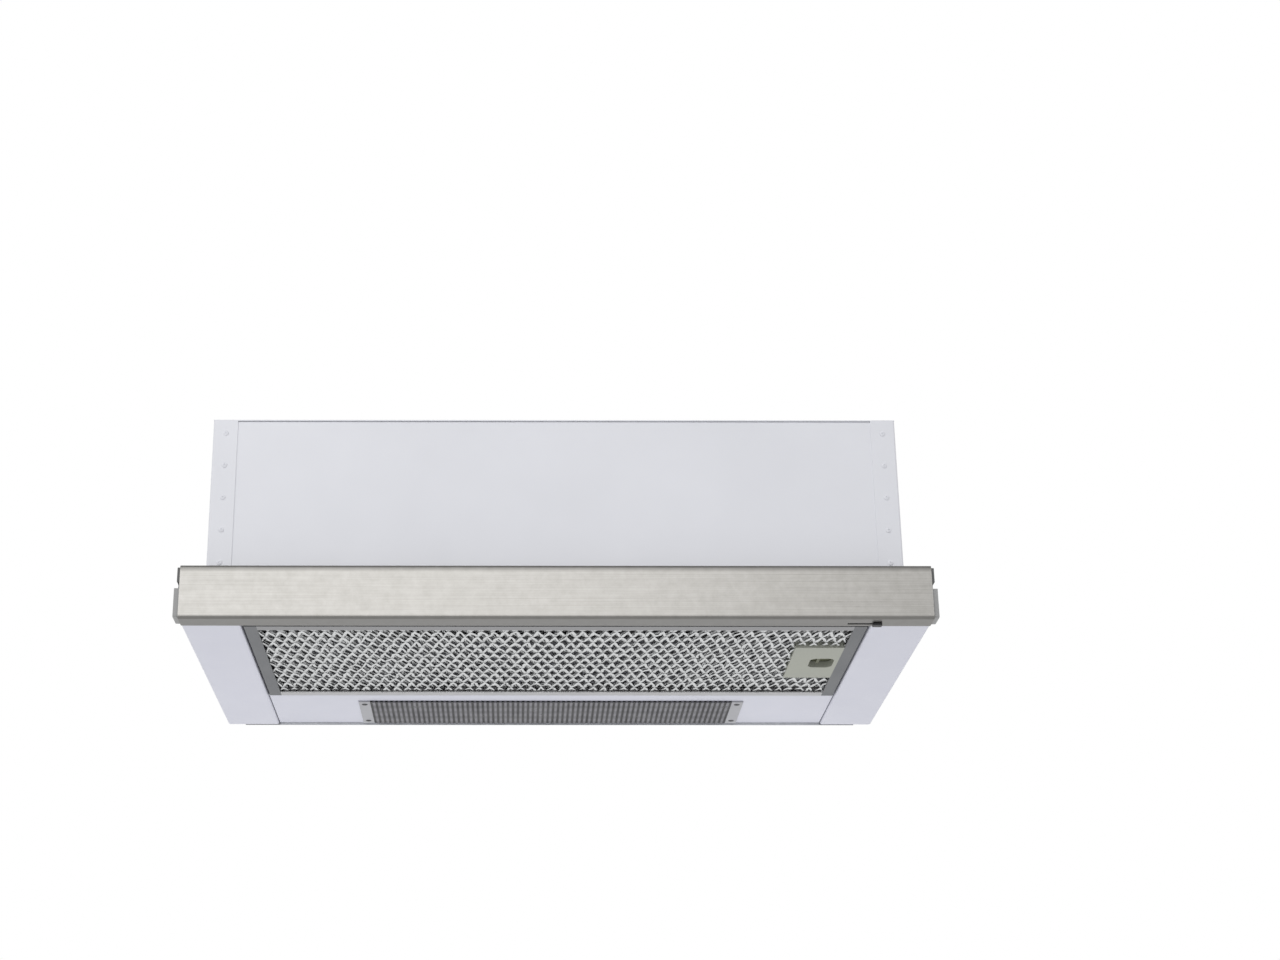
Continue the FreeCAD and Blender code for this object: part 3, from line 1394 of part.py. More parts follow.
def build():
    """Makes every piece, outside first."""
    trim_strip()
    trim_backer()
    for name, side in SIDES.items():
        trim_cap(name, side)
        arm(name, side)
        runner(name, side)
        slide(name, side)
        casing_side(name, side)
        scroll_shell(name, side)
        flap(name, side)
    arm_screws()
    glides()
    casing_front_panel()
    casing_back_panel()
    casing_top_panel()
    casing_rivets()
    light_panel()
    cross_rail()
    lamp_cover()
    lamp_cover_screws()
    lamp_reflector()
    lamp()
    visor_filter()
    filter_pivots()
    latch()
    speed_control()
    inner_filter()
    impeller()
    motor()
    motor_spider()
    electrics()
    duct_collar()
    collar_screws()
    keep(flap_pin_rod("flap_pin_rod"), "flap_pin")


def check():
    """Stops if any object failed or any piece is empty or broken."""
    doc.recompute()
    for obj in doc.Objects:
        if "Invalid" in obj.State or "Error" in obj.State:
            raise RuntimeError("%s (%s) failed: %s" % (obj.Name, obj.Label, obj.State))
    for node in NODES:
        if node.Shape.isNull() or not node.Shape.isValid() or not node.Shape.Solids:
            raise RuntimeError("%s has no valid solid" % node.Label)


def write():
    """Writes each piece to its own file."""
    os.makedirs("parts", exist_ok=True)
    for node in NODES:
        node.Shape.exportStep("parts/%s.step" % node.Label)


build()
check()
write()
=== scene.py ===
"""Looks of the built-in slide-out range hood: finishes, fine mesh, fasteners, studio and camera.

Lengths are metres in the hood's own frame: +X right, +Y to the wall, +Z up, underside at zero.
"""
import json
import math

import bmesh
import bpy
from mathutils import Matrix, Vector


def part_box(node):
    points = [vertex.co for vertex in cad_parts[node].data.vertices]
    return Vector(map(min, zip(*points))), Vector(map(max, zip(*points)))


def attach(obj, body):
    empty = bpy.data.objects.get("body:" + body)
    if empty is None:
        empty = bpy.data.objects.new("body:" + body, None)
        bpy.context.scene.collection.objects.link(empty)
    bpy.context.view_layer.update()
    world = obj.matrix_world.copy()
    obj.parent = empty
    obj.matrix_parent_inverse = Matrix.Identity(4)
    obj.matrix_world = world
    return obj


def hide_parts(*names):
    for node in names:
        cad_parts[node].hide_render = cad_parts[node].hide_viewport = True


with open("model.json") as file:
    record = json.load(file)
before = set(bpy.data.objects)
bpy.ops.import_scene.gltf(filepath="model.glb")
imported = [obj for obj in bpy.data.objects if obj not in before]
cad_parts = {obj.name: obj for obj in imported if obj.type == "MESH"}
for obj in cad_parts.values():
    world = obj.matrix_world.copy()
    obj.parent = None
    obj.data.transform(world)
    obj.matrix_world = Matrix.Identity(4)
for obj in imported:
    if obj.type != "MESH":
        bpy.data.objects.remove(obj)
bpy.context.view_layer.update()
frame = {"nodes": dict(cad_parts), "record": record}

MM = 0.001

# Camera fitted to the photograph: degrees, lens in millimetres, shift as a share of the picture's width
CAMERA_PLACE = (-0.033, -1.958, -0.508)
CAMERA_PITCH = 20.96
CAMERA_YAW = 0.14
CAMERA_LENS = 61.3
CAMERA_SHIFT_SHARE = 0.0945

# Camera's own values: turn that levels it, width of its sensor in millimetres and how far it sees
CAMERA_LEVEL = 90.0
CAMERA_SENSOR = 36.0
CAMERA_REACH = 50.0

# Expanded sheets: cell across, spacing of the strands, their section, cuts along them, slope, shift and
# how far they reach behind the latch plate
NO_SHIFT = (0.0, 0.0, 0.0)
FILTER_SHEETS = {
    "filter_outer_sheet": {"Cell": 9.0 * MM, "Row": 15.0 * MM, "Width": 2.3 * MM, "Thickness": 0.8 * MM,
                           "Cuts": 2, "Lean": 0.0, "Shift": NO_SHIFT, "Tuck": 1.2 * MM},
    "filter_middle_sheet": {"Cell": 9.05 * MM, "Row": 15.0 * MM, "Width": 2.1 * MM, "Thickness": 0.7 * MM,
                            "Cuts": 2, "Lean": -0.05, "Shift": (-1.8 * MM, 9.2 * MM, 0.0),
                            "Tuck": 1.2 * MM},
    "filter_fine_sheet": {"Cell": 6.0 * MM, "Row": 6.0 * MM, "Width": 1.2 * MM, "Thickness": 0.6 * MM,
                          "Cuts": 0, "Lean": -0.07, "Shift": NO_SHIFT, "Tuck": -3.4 * MM},
}
INNER_SHEET = {"Cell": 12.0 * MM, "Row": 6.0 * MM, "Width": 1.7 * MM, "Thickness": 0.7 * MM,
               "Cuts": 1, "Lean": 0.0, "Shift": NO_SHIFT}
INNER_LEVEL_SHARE = 0.5
STRAND_WAVE = 0.6 * MM
STRAND_CRUMPLE = (6.0 * MM, 7.0 * MM, 3.0 * MM)
CRUMPLES_PER_METRE = 90.0
CRUMPLE_DETAIL = 2.0
SHEET_HIDDEN_EDGE = 1.2 * MM
SPARE_CELLS = 3

# The pattern of a sheet repeats after two points of a strand and after two strands
POINTS_PER_CELL = 2
STRANDS_PER_CELL = 2

# Fasteners: radius and rise of the head, radius and length of the shank
RIVET = {"Head": 2.4 * MM, "Rise": 0.9 * MM, "Shank": 1.2 * MM, "Length": 1.6 * MM}
ARM_SCREW = {"Head": 3.6 * MM, "Rise": 2.0 * MM, "Shank": 2.0 * MM, "Length": 4.0 * MM}
COVER_SCREW = {"Head": 2.6 * MM, "Rise": 0.8 * MM, "Shank": 1.5 * MM, "Length": 4.0 * MM}
COLLAR_SCREW = {"Head": 3.4 * MM, "Rise": 1.8 * MM, "Shank": 1.8 * MM, "Length": 6.0 * MM}
RIVET_ROWS = 5
SCREW_ROWS = 2
HEAD_SEGMENTS = 24
HEAD_RINGS = 12
SHANK_SIDES = 16

# Recesses as shares of the head's radius, and their middle as a share of its rise
SLOT_LENGTH_SHARE = 1.1
SLOT_WIDTH_SHARE = 0.26
RIVET_HOLE_SHARE = 0.3
RECESS_LIFT_SHARE = 0.85

# Block that cuts a ball down to a dome, as shares of the head's radius and rise
BLOCK_WIDTH_SHARE = 4.0
BLOCK_HEIGHT_SHARE = 2.0

# Grey steps as shares of height and tone: painted dark reflection at the strip's top bend and under lip,
# and painted shade on the upper tab of its end caps
STRIP_REFLECTION_SHARES = ((0.0, 0.72), (0.045, 0.72), (0.075, 1.0), (0.87, 1.0), (0.91, 0.72), (0.96, 0.42),
                     (1.0, 0.36))
CAP_SHADE_SHARES = ((0.0, 1.0), (0.6, 1.0), (0.64, 0.3), (1.0, 0.3))

# Plain top of the strip: the share of its height where it begins, and the depth of the bend before it
STRIP_TOP_SHARE = 0.9
STRIP_BEND = 2.0 * MM

# Ribs of the lamp cover and the rows across them
RIB_PITCH = 4.5 * MM
RIB_ROW_PITCH = 18.0 * MM
COVER_RIBBED_HALF = 161.0 * MM

# Part of a pattern over which a colour or a number runs
PATTERN_LOW_SHARE = 0.3
PATTERN_HIGH_SHARE = 0.7

# Patterns of the finishes: how many to a metre, and how fine they are
ENAMEL_CLOUDS = {"scale": 7.0, "detail": 3.0}
ENAMEL_GLOSS = {"scale": 30.0}
ENAMEL_PEEL = {"scale": 700.0, "detail": 2.0}
PLASTIC_CLOUDS = {"scale": 18.0}
PLASTIC_GRAIN = {"scale": 1400.0, "detail": 2.0}
CAP_CLOUDS = {"scale": 30.0}
COVER_CLOUDS = {"scale": 40.0}
GLASS_CLOUDS = {"scale": 25.0}
METAL_MARKS = {"scale": 60.0, "detail": 5.0}
STRIP_BLOTCHES = {"scale": 120.0, "detail": 5.0, "roughness": 0.7}
FLOOR_CLOUDS = {"scale": 2.0}
SPANGLES_PER_METRE = 130.0

# Brush marks, and how many to a metre along each axis
BRUSH_MARKS = {"scale": 1.0, "detail": 6.0, "roughness": 0.65}
STRIP_BRUSHING = (6.0, 900.0, 900.0)
MOTOR_BRUSHING = (900.0, 8.0, 8.0)
SHAFT_BRUSHING = (4.0, 600.0, 600.0)

# Relief of orange peel, moulded grain and brush marks
PEEL_RELIEF = {"strength": 0.06, "depth": 0.2 * MM}
GRAIN_RELIEF = {"strength": 0.1, "depth": 0.15 * MM}
BRUSH_RELIEF = {"strength": 0.12, "depth": 0.1 * MM}

# Darkest and lightest tone of the finishes, as shares of their colour
ENAMEL_TONE_SHARES = (0.975, 1.02)
ZINC_TONE_SHARES = (0.95, 1.04)
METAL_TONE_SHARES = (0.82, 1.06)
PLASTIC_TONE_SHARES = (0.93, 1.05)
CAP_TONE_SHARES = (0.92, 1.06)
TAB_TONE_SHARES = (0.9, 1.08)
GLASS_TONE_SHARES = (0.96, 1.0)

# Mean roughness of the finishes that have only one
ENAMEL_ROUGHNESS = 0.42
STRIP_ROUGHNESS = 0.32
ZINC_ROUGHNESS = 0.42
CAP_ROUGHNESS = 0.5
COVER_ROUGHNESS = 0.32
GLASS_ROUGHNESS = 0.18
FLOOR_ROUGHNESS = 0.8

# How far the roughness wanders below and above its mean
ENAMEL_WANDER = (-0.06, 0.06)
STRIP_WANDER = (-0.05, 0.08)
BRUSHED_WANDER = (-0.07, 0.08)
ZINC_WANDER = (-0.04, 0.06)
METAL_WANDER = (-0.08, 0.1)
PLASTIC_WANDER = (-0.05, 0.06)
CAP_WANDER = (-0.06, 0.08)
COVER_WANDER = (-0.06, 0.08)
GLASS_WANDER = (-0.03, 0.04)
FLOOR_WANDER = (-0.05, 0.05)

# How much of a finish is metal, mirror gloss or clear coat
BARE_METAL = 1.0
PLATED_METAL = 0.85
COVER_SPECULAR = 0.08
GLASS_COAT = 0.5

# White, and greys that darken a colour
WHITE = (1.0, 1.0, 1.0)
OPAQUE_WHITE = (*WHITE, 1.0)
BLOTCH_GREY = (0.87, 0.87, 0.86)
RIB_ROW_GREY = (0.7, 0.7, 0.7)

# Lamps: metres, watts and whether mirrors show them
KEY_LAMP = {"place": (-1.0, -3.2, 1.0), "aim": (0.0, -0.16, 0.08), "width": 3.4, "height": 3.0,
            "power": 47.0, "mirrored": True}
UNDER_LAMP = {"place": (-0.1, 0.3, -1.5), "aim": (0.0, 0.1, 0.0), "width": 3.2, "height": 1.2,
              "power": 14.2, "mirrored": False}
WORLD_LIGHT = (0.58, 0.585, 0.60, 1.0)

# Floor far below the hood, with its greys and the share of white that the eye sees on it
FLOOR_HALF = 25.0
FLOOR_LEVEL = -4.0
FLOOR_DARK = (0.85, 0.85, 0.85)
FLOOR_MEAN = (0.86, 0.86, 0.86)
FLOOR_LIGHT = (0.88, 0.88, 0.88)
FLOOR_GLOW_SHARE = 0.7


# Node helpers
def feed(tree, socket, value):
    """Gives an input another node's output or a plain value."""
    if isinstance(value, bpy.types.NodeSocket):
        tree.links.new(value, socket)
    else:
        socket.default_value = value


def add(tree, kind, inputs=None, **settings):
    """New node with its settings and inputs."""
    node = tree.nodes.new(kind)
    for key, value in settings.items():
        setattr(node, key, value)
    for key, value in (inputs or {}).items():
        feed(tree, node.inputs[key], value)
    return node


def work(tree, operation, first, second=0.0):
    """Sum, product or other work on two numbers."""
    return add(tree, "ShaderNodeMath", {0: first, 1: second}, operation=operation).outputs[0]


def vector(tree, x=0.0, y=0.0, z=0.0):
    """Vector of three numbers."""
    return add(tree, "ShaderNodeCombineXYZ", {"X": x, "Y": y, "Z": z}).outputs[0]


# Patterns for finishes
def object_points(tree, stretch=(1.0, 1.0, 1.0)):
    """Object coordinates, stretched along the axes."""
    place = add(tree, "ShaderNodeTexCoord").outputs["Object"]
    return add(tree, "ShaderNodeMapping", {"Vector": place, "Scale": stretch}).outputs[0]


def noise(tree, points, scale, detail=4.0, roughness=0.55):
    """Cloudy pattern from 0 to 1."""
    return add(tree, "ShaderNodeTexNoise", {"Vector": points, "Scale": scale, "Detail": detail,
                                            "Roughness": roughness}).outputs["Fac"]


def spangle(tree, points, scale):
    """Patches like the crystals of a zinc coat."""
    return add(tree, "ShaderNodeTexVoronoi", {"Vector": points, "Scale": scale}).outputs["Color"]


def stepped(tree, factor, stops):
    """Colour that runs through stops of place and colour along a pattern."""
    blend = add(tree, "ShaderNodeValToRGB", {"Fac": factor})
    marks = blend.color_ramp.elements
    while len(marks) < len(stops):
        marks.new(1.0)
    for mark, (place, colour) in zip(marks, stops):
        mark.position = place
        mark.color = (*colour, 1.0)
    return blend.outputs["Color"]


def ramp(tree, factor, low, high):
    """Colour that runs from low to high over the middle of a pattern."""
    return stepped(tree, factor, ((PATTERN_LOW_SHARE, low), (PATTERN_HIGH_SHARE, high)))


def bands(tree, factor, shares):
    """Grey level that steps along a pattern."""
    return stepped(tree, factor, [(place, (level, level, level)) for place, level in shares])


def spread(tree, factor, low, high):
    """Number that runs from low to high over the middle of a pattern."""
    return add(tree, "ShaderNodeMapRange", {"Value": factor, "From Min": PATTERN_LOW_SHARE,
                                            "From Max": PATTERN_HIGH_SHARE, "To Min": low,
                                            "To Max": high}).outputs["Result"]


def height_share(tree, name):
    """How far up a point is in the box of a CAD node, from 0 to 1."""
    low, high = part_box(name)
    axes = add(tree, "ShaderNodeSeparateXYZ", {0: object_points(tree)})
    return add(tree, "ShaderNodeMapRange", {"Value": axes.outputs["Z"], "From Min": low.z,
                                            "From Max": high.z}).outputs["Result"]


def blended(tree, factor, first, second, kind="MIX"):
    """Two colours mixed or multiplied."""
    mix = add(tree, "ShaderNodeMix", data_type="RGBA", blend_type=kind)
    for key, value in (("Factor", factor), ("A", first), ("B", second)):
        feed(tree, mix.inputs[key], value)
    return mix.outputs["Result"]


def multiplied(tree, first, second):
    """Product of two colours."""
    return blended(tree, 1.0, first, second, "MULTIPLY")


def shade(colour, share):
    """Colour made lighter or darker by a share."""
    return tuple(channel * share for channel in colour)


def toned(tree, pattern, colour, shares):
    """Colour whose tone wanders along a pattern, between two shares of it."""
    dark, light = shares
    return ramp(tree, pattern, shade(colour, dark), shade(colour, light))


def roughened(tree, pattern, mean, wander):
    """Roughness that wanders along a pattern, below and above its mean."""
    below, above = wander
    return spread(tree, pattern, mean + below, mean + above)


# Shader set-up
def finish(name, colour, roughness, metallic=0.0):
    """Material with a plain Principled shader."""
    material = bpy.data.materials.new(name)
    material.use_nodes = True
    shader = material.node_tree.nodes["Principled BSDF"]
    shader.inputs["Base Color"].default_value = (*colour, 1.0)
    shader.inputs["Roughness"].default_value = roughness
    shader.inputs["Metallic"].default_value = metallic
    return material, material.node_tree, shader


def coat(tree, shader, colour, roughness):
    """Patterned colour and roughness."""
    tree.links.new(colour, shader.inputs["Base Color"])
    tree.links.new(roughness, shader.inputs["Roughness"])


def relief(tree, shader, height, strength, depth):
    """Fine surface relief from a pattern."""
    bump = add(tree, "ShaderNodeBump", {"Height": height, "Strength": strength, "Distance": depth})
    tree.links.new(bump.outputs["Normal"], shader.inputs["Normal"])


# Finishes of the hood
def enamel(name, colour):
    """Stove enamel: faint clouding, slight orange peel and a satin gloss."""
    material, tree, shader = finish(name, colour, ENAMEL_ROUGHNESS)
    points = object_points(tree)
    tone = toned(tree, noise(tree, points, **ENAMEL_CLOUDS), colour, ENAMEL_TONE_SHARES)
    gloss = roughened(tree, noise(tree, points, **ENAMEL_GLOSS), ENAMEL_ROUGHNESS, ENAMEL_WANDER)
    coat(tree, shader, tone, gloss)
    relief(tree, shader, noise(tree, points, **ENAMEL_PEEL), **PEEL_RELIEF)
    return material


def brushed(name, low, high, stretch, roughness):
    """Steel brushed along one axis: long fine streaks in tone, gloss and relief."""
    material, tree, shader = finish(name, high, roughness, BARE_METAL)
    streaks = noise(tree, object_points(tree, stretch), **BRUSH_MARKS)
    coat(tree, shader, ramp(tree, streaks, low, high),
         roughened(tree, streaks, roughness, BRUSHED_WANDER))
    relief(tree, shader, streaks, **BRUSH_RELIEF)
    return material


def strip_painted_reflections(tree):
    """Painted dark reflection up the face of the strip, at the top bend and the under lip, with a plain
    top behind the bend.
    """
    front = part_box("trim_strip")[0].y
    up = height_share(tree, "trim_strip")
    axes = add(tree, "ShaderNodeSeparateXYZ", {0: object_points(tree)}).outputs
    on_top = work(tree, "MULTIPLY", work(tree, "GREATER_THAN", up, STRIP_TOP_SHARE),
                  work(tree, "GREATER_THAN", axes["Y"], front + STRIP_BEND))
    return blended(tree, on_top, bands(tree, up, STRIP_REFLECTION_SHARES), OPAQUE_WHITE)


def strip_steel(name, low, high):
    """Brushed strip: long streaks and faint blotches, with painted dark reflection along the top bend and
    the under lip.
    """
    material, tree, shader = finish(name, high, STRIP_ROUGHNESS, BARE_METAL)
    streaks = noise(tree, object_points(tree, STRIP_BRUSHING), **BRUSH_MARKS)
    blotches = noise(tree, object_points(tree), **STRIP_BLOTCHES)
    tone = multiplied(tree, ramp(tree, streaks, low, high), ramp(tree, blotches, BLOTCH_GREY, WHITE))
    # Painted dark reflection along the top bend and the under lip
    tone = multiplied(tree, tone, strip_painted_reflections(tree))
    coat(tree, shader, tone, roughened(tree, streaks, STRIP_ROUGHNESS, STRIP_WANDER))
    relief(tree, shader, streaks, **BRUSH_RELIEF)
    return material


def end_cap(name, colour):
    """Moulded end cap whose upper tab carries painted shade, darker than the lower one."""
    material, tree, shader = finish(name, colour, CAP_ROUGHNESS)
    points = object_points(tree)
    clouds = noise(tree, points, **CAP_CLOUDS)
    # Painted shade on the upper tab of the cap
    tab_shade = bands(tree, height_share(tree, "trim_cap_right"), CAP_SHADE_SHARES)
    tone = multiplied(tree, toned(tree, clouds, colour, CAP_TONE_SHARES), tab_shade)
    coat(tree, shader, tone, roughened(tree, clouds, CAP_ROUGHNESS, CAP_WANDER))
    relief(tree, shader, noise(tree, points, **PLASTIC_GRAIN), **GRAIN_RELIEF)
    return material


def plated(name, colour):
    """Zinc-plated sheet with a faint spangle."""
    material, tree, shader = finish(name, colour, ZINC_ROUGHNESS, PLATED_METAL)
    crystals = spangle(tree, object_points(tree), SPANGLES_PER_METRE)
    coat(tree, shader, toned(tree, crystals, colour, ZINC_TONE_SHARES),
         roughened(tree, crystals, ZINC_ROUGHNESS, ZINC_WANDER))
    return material


def alloy(name, colour, roughness):
    """Bare metal with handling marks."""
    material, tree, shader = finish(name, colour, roughness, BARE_METAL)
    marks = noise(tree, object_points(tree), **METAL_MARKS)
    coat(tree, shader, toned(tree, marks, colour, METAL_TONE_SHARES),
         roughened(tree, marks, roughness, METAL_WANDER))
    return material


def moulded(name, colour, roughness):
    """Moulded plastic with a fine spark-eroded grain."""
    material, tree, shader = finish(name, colour, roughness)
    points = object_points(tree)
    clouds = noise(tree, points, **PLASTIC_CLOUDS)
    coat(tree, shader, toned(tree, clouds, colour, PLASTIC_TONE_SHARES),
         roughened(tree, clouds, roughness, PLASTIC_WANDER))
    relief(tree, shader, noise(tree, points, **PLASTIC_GRAIN), **GRAIN_RELIEF)
    return material


def wave(tree, distance, pitch):
    """Share that is 0 at every whole pitch and 1 halfway between."""
    return work(tree, "DIVIDE", work(tree, "PINGPONG", distance, pitch / 2), pitch / 2)


def smoke_cover(name, crest, groove_shade, tab):
    """Smoke plastic: painted light on each rib's crest and painted shade between them, faint darker rows
    across and a paler tab at each end.
    """
    material, tree, shader = finish(name, crest, COVER_ROUGHNESS)
    axes = add(tree, "ShaderNodeSeparateXYZ", {0: object_points(tree)}).outputs
    # Painted light on each rib's crest and painted shade between them
    rib_shading = multiplied(tree, ramp(tree, wave(tree, axes["X"], RIB_PITCH), crest, groove_shade),
                      ramp(tree, wave(tree, axes["Y"], RIB_ROW_PITCH), WHITE, RIB_ROW_GREY))
    clouds = noise(tree, object_points(tree), **COVER_CLOUDS)
    at_end = work(tree, "GREATER_THAN", work(tree, "ABSOLUTE", axes["X"]), COVER_RIBBED_HALF)
    tone = blended(tree, at_end, rib_shading, toned(tree, clouds, tab, TAB_TONE_SHARES))
    coat(tree, shader, tone, roughened(tree, clouds, COVER_ROUGHNESS, COVER_WANDER))
    shader.inputs["Specular IOR Level"].default_value = COVER_SPECULAR
    return material


def opal(name, colour):
    """Milky lamp glass."""
    material, tree, shader = finish(name, colour, GLASS_ROUGHNESS)
    clouds = noise(tree, object_points(tree), **GLASS_CLOUDS)
    coat(tree, shader, toned(tree, clouds, colour, GLASS_TONE_SHARES),
         roughened(tree, clouds, GLASS_ROUGHNESS, GLASS_WANDER))
    shader.inputs["Coat Weight"].default_value = GLASS_COAT
    return material


# Finish of each material slot of the record: colour and, where it varies within a kind, roughness
FINISHES = {
    "casing_paint": enamel("casing_enamel", (0.76, 0.765, 0.80)),
    "visor_paint": enamel("visor_enamel", (0.665, 0.67, 0.745)),
    "strip_steel": strip_steel("strip_brushed_steel", (0.30, 0.292, 0.279), (0.385, 0.376, 0.359)),
    "plated_steel": plated("zinc_plate", (0.56, 0.57, 0.58)),
    "bright_steel": alloy("fastener_steel", (0.46, 0.46, 0.47), 0.35),
    "filter_alloy": alloy("filter_aluminium", (0.85, 0.86, 0.86), 0.36),
    # Dark grey on the filter's side rails stands in for the shade on them
    "rail_grey": moulded("side_rail_grey_painted_shade", (0.108, 0.113, 0.121), 0.42),
    "cover_smoke": smoke_cover("cover_smoke_plastic", (0.21, 0.206, 0.226), (0.02, 0.02, 0.022),
                               (0.42, 0.42, 0.44)),
    "latch_plastic": moulded("latch_beige_plastic", (0.36, 0.37, 0.315), 0.45),
    # Olive latch slider, darkened partly as painted shade for its finger recess
    "latch_dark": moulded("latch_olive_plastic_painted_shade", (0.115, 0.12, 0.075), 0.5),
    "black_plastic": moulded("black_moulding", (0.025, 0.025, 0.027), 0.45),
    "grey_plastic": moulded("grey_moulding", (0.33, 0.34, 0.35), 0.48),
    "nylon": moulded("natural_nylon", (0.74, 0.73, 0.68), 0.4),
    "motor_steel": brushed("motor_varnish", (0.10, 0.10, 0.11), (0.22, 0.22, 0.23), MOTOR_BRUSHING, 0.45),
    "lamp_glass": opal("lamp_opal_glass", (0.86, 0.87, 0.86)),
    "shaft_steel": brushed("shaft_ground_steel", (0.45, 0.45, 0.46), (0.58, 0.58, 0.59),
                           SHAFT_BRUSHING, 0.25),
}
# Copies of the filter's aluminium with painted light or shade: painted light on the rear rail, painted
# shade on the front rail and on the fine upper sheet
REAR_RAIL_PAINTED_LIGHT = alloy("rear_rail_aluminium_painted_light", (0.68, 0.68, 0.69), 0.5)
FRONT_RAIL_PAINTED_SHADE = alloy("front_rail_aluminium_painted_shade", (0.44, 0.44, 0.45), 0.5)
FINE_SHEET_PAINTED_SHADE = alloy("filter_aluminium_painted_shade", (0.33, 0.33, 0.33), 0.5)
# Near-black aluminium for the inner filter's frame and sheet, painted shade for the dark inside of the
# casing
INNER_FILTER_PAINTED_SHADE = alloy("inner_filter_aluminium_painted_shade", (0.09, 0.09, 0.095), 0.5)
DARK_STEEL = alloy("cover_screw_dark_steel", (0.12, 0.12, 0.125), 0.4)
CAP_FINISH = end_cap("end_cap_grey_plastic", (0.33, 0.33, 0.325))

# Nodes whose look differs from the rest of their slot, the rails, inner filter frame and end caps
# carrying painted light or shade
OWN_FINISHES = {"filter_front_rail": FRONT_RAIL_PAINTED_SHADE, "filter_rear_rail": REAR_RAIL_PAINTED_LIGHT,
                "inner_filter_frame": INNER_FILTER_PAINTED_SHADE, "trim_cap_left": CAP_FINISH,
                "trim_cap_right": CAP_FINISH}
SHEET_FINISHES = {"filter_outer_sheet": FINISHES["filter_alloy"],
                  "filter_middle_sheet": FINISHES["filter_alloy"], "filter_fine_sheet": FINE_SHEET_PAINTED_SHADE}


def dress_nodes():
    """Gives every CAD node its own finish or that of its slot."""
    for subpart in frame["record"]["subparts"]:
        name = subpart["node"]
        for slot in frame["nodes"][name].material_slots:
            slot.material = OWN_FINISHES.get(name) or FINISHES[subpart["material_slot"]]


# Geometry trees
def new_tree(name, sizes):
    """Geometry tree with named inputs for its sizes and a finish; gives the tree and its inputs."""
    tree = bpy.data.node_groups.new(name, "GeometryNodeTree")
    tree.interface.new_socket("Geometry", in_out="INPUT", socket_type="NodeSocketGeometry")
    tree.interface.new_socket("Geometry", in_out="OUTPUT", socket_type="NodeSocketGeometry")
    for label, kind in sizes.items():
        tree.interface.new_socket(label, in_out="INPUT", socket_type="NodeSocket" + kind)
    tree.interface.new_socket("Finish", in_out="INPUT", socket_type="NodeSocketMaterial")
    return tree, add(tree, "NodeGroupInput").outputs


def close_tree(tree, size, copies):
    """Makes copies real, gives them the finish and sends them out."""
    real = add(tree, "GeometryNodeRealizeInstances", {"Geometry": copies})
    painted = add(tree, "GeometryNodeSetMaterial", {"Geometry": real.outputs[0],
                                                    "Material": size["Finish"]})
    add(tree, "NodeGroupOutput", {0: painted.outputs[0]})


def moved(tree, shape, **how):
    """Shape moved, turned or stretched."""
    return add(tree, "GeometryNodeTransform", {"Geometry": shape, **how}).outputs[0]


def joined(tree, *shapes):
    """Several shapes as one."""
    join = add(tree, "GeometryNodeJoinGeometry")
    for shape in shapes:
        tree.links.new(shape, join.inputs[0])
    return join.outputs[0]


def grown(name, tree, values, mesh=None):
    """Plain mesh object made by a geometry tree with the given input values."""
    piece = bpy.data.objects.new(name, mesh or bpy.data.meshes.new(name))
    bpy.context.scene.collection.objects.link(piece)
    modifier = piece.modifiers.new("grow", "NODES")
    modifier.node_group = tree
    for item in tree.interface.items_tree:
        if item.in_out == "INPUT" and item.name in values:
            modifier[item.identifier] = values[item.name]
    graph = bpy.context.evaluated_depsgraph_get()
    result = bpy.data.meshes.new_from_object(piece.evaluated_get(graph))
    piece.modifiers.remove(modifier)
    piece.data = result
    result.name = name
    return piece


def stands_for(piece, body, name):
    """Puts a piece on a body in place of a CAD node."""
    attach(piece, body)
    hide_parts(name)


def vector_work(tree, operation, first, second):
    """Sum, difference or product of two vectors."""
    return add(tree, "ShaderNodeVectorMath", {0: first, 1: second}, operation=operation).outputs[0]


def offset_by(tree, shape, shift):
    """Shape whose points are moved by a pattern."""
    return add(tree, "GeometryNodeSetPosition", {"Geometry": shape, "Offset": shift}).outputs[0]


def place_axes(tree):
    """Three coordinates of each point."""
    place = add(tree, "GeometryNodeInputPosition").outputs[0]
    return add(tree, "ShaderNodeSeparateXYZ", {0: place}).outputs


# Expanded mesh
def zigzag_strand(tree, size, half_cell, odd):
    """Flat strand that swings from side to side along X, cut into short lengths."""
    step = vector(tree, x=half_cell)
    line = add(tree, "GeometryNodeMeshLine", {"Count": size["Columns"], "Offset": step})
    sign = work(tree, "SUBTRACT", odd, 0.5)
    swing = vector(tree, y=work(tree, "MULTIPLY", sign, size["Row"]),
                   z=work(tree, "MULTIPLY", sign, size["Wave"]))
    bent = offset_by(tree, line.outputs[0], swing)
    fine = add(tree, "GeometryNodeSubdivideMesh", {"Mesh": bent, "Level": size["Cuts"]})
    path = add(tree, "GeometryNodeMeshToCurve", {"Mesh": fine.outputs[0]})
    section = add(tree, "GeometryNodeCurvePrimitiveQuadrilateral",
                  {"Width": size["Width"], "Height": size["Thickness"]})
    return add(tree, "GeometryNodeCurveToMesh", {"Curve": path.outputs[0],
                                                 "Profile Curve": section.outputs[0]}).outputs[0]


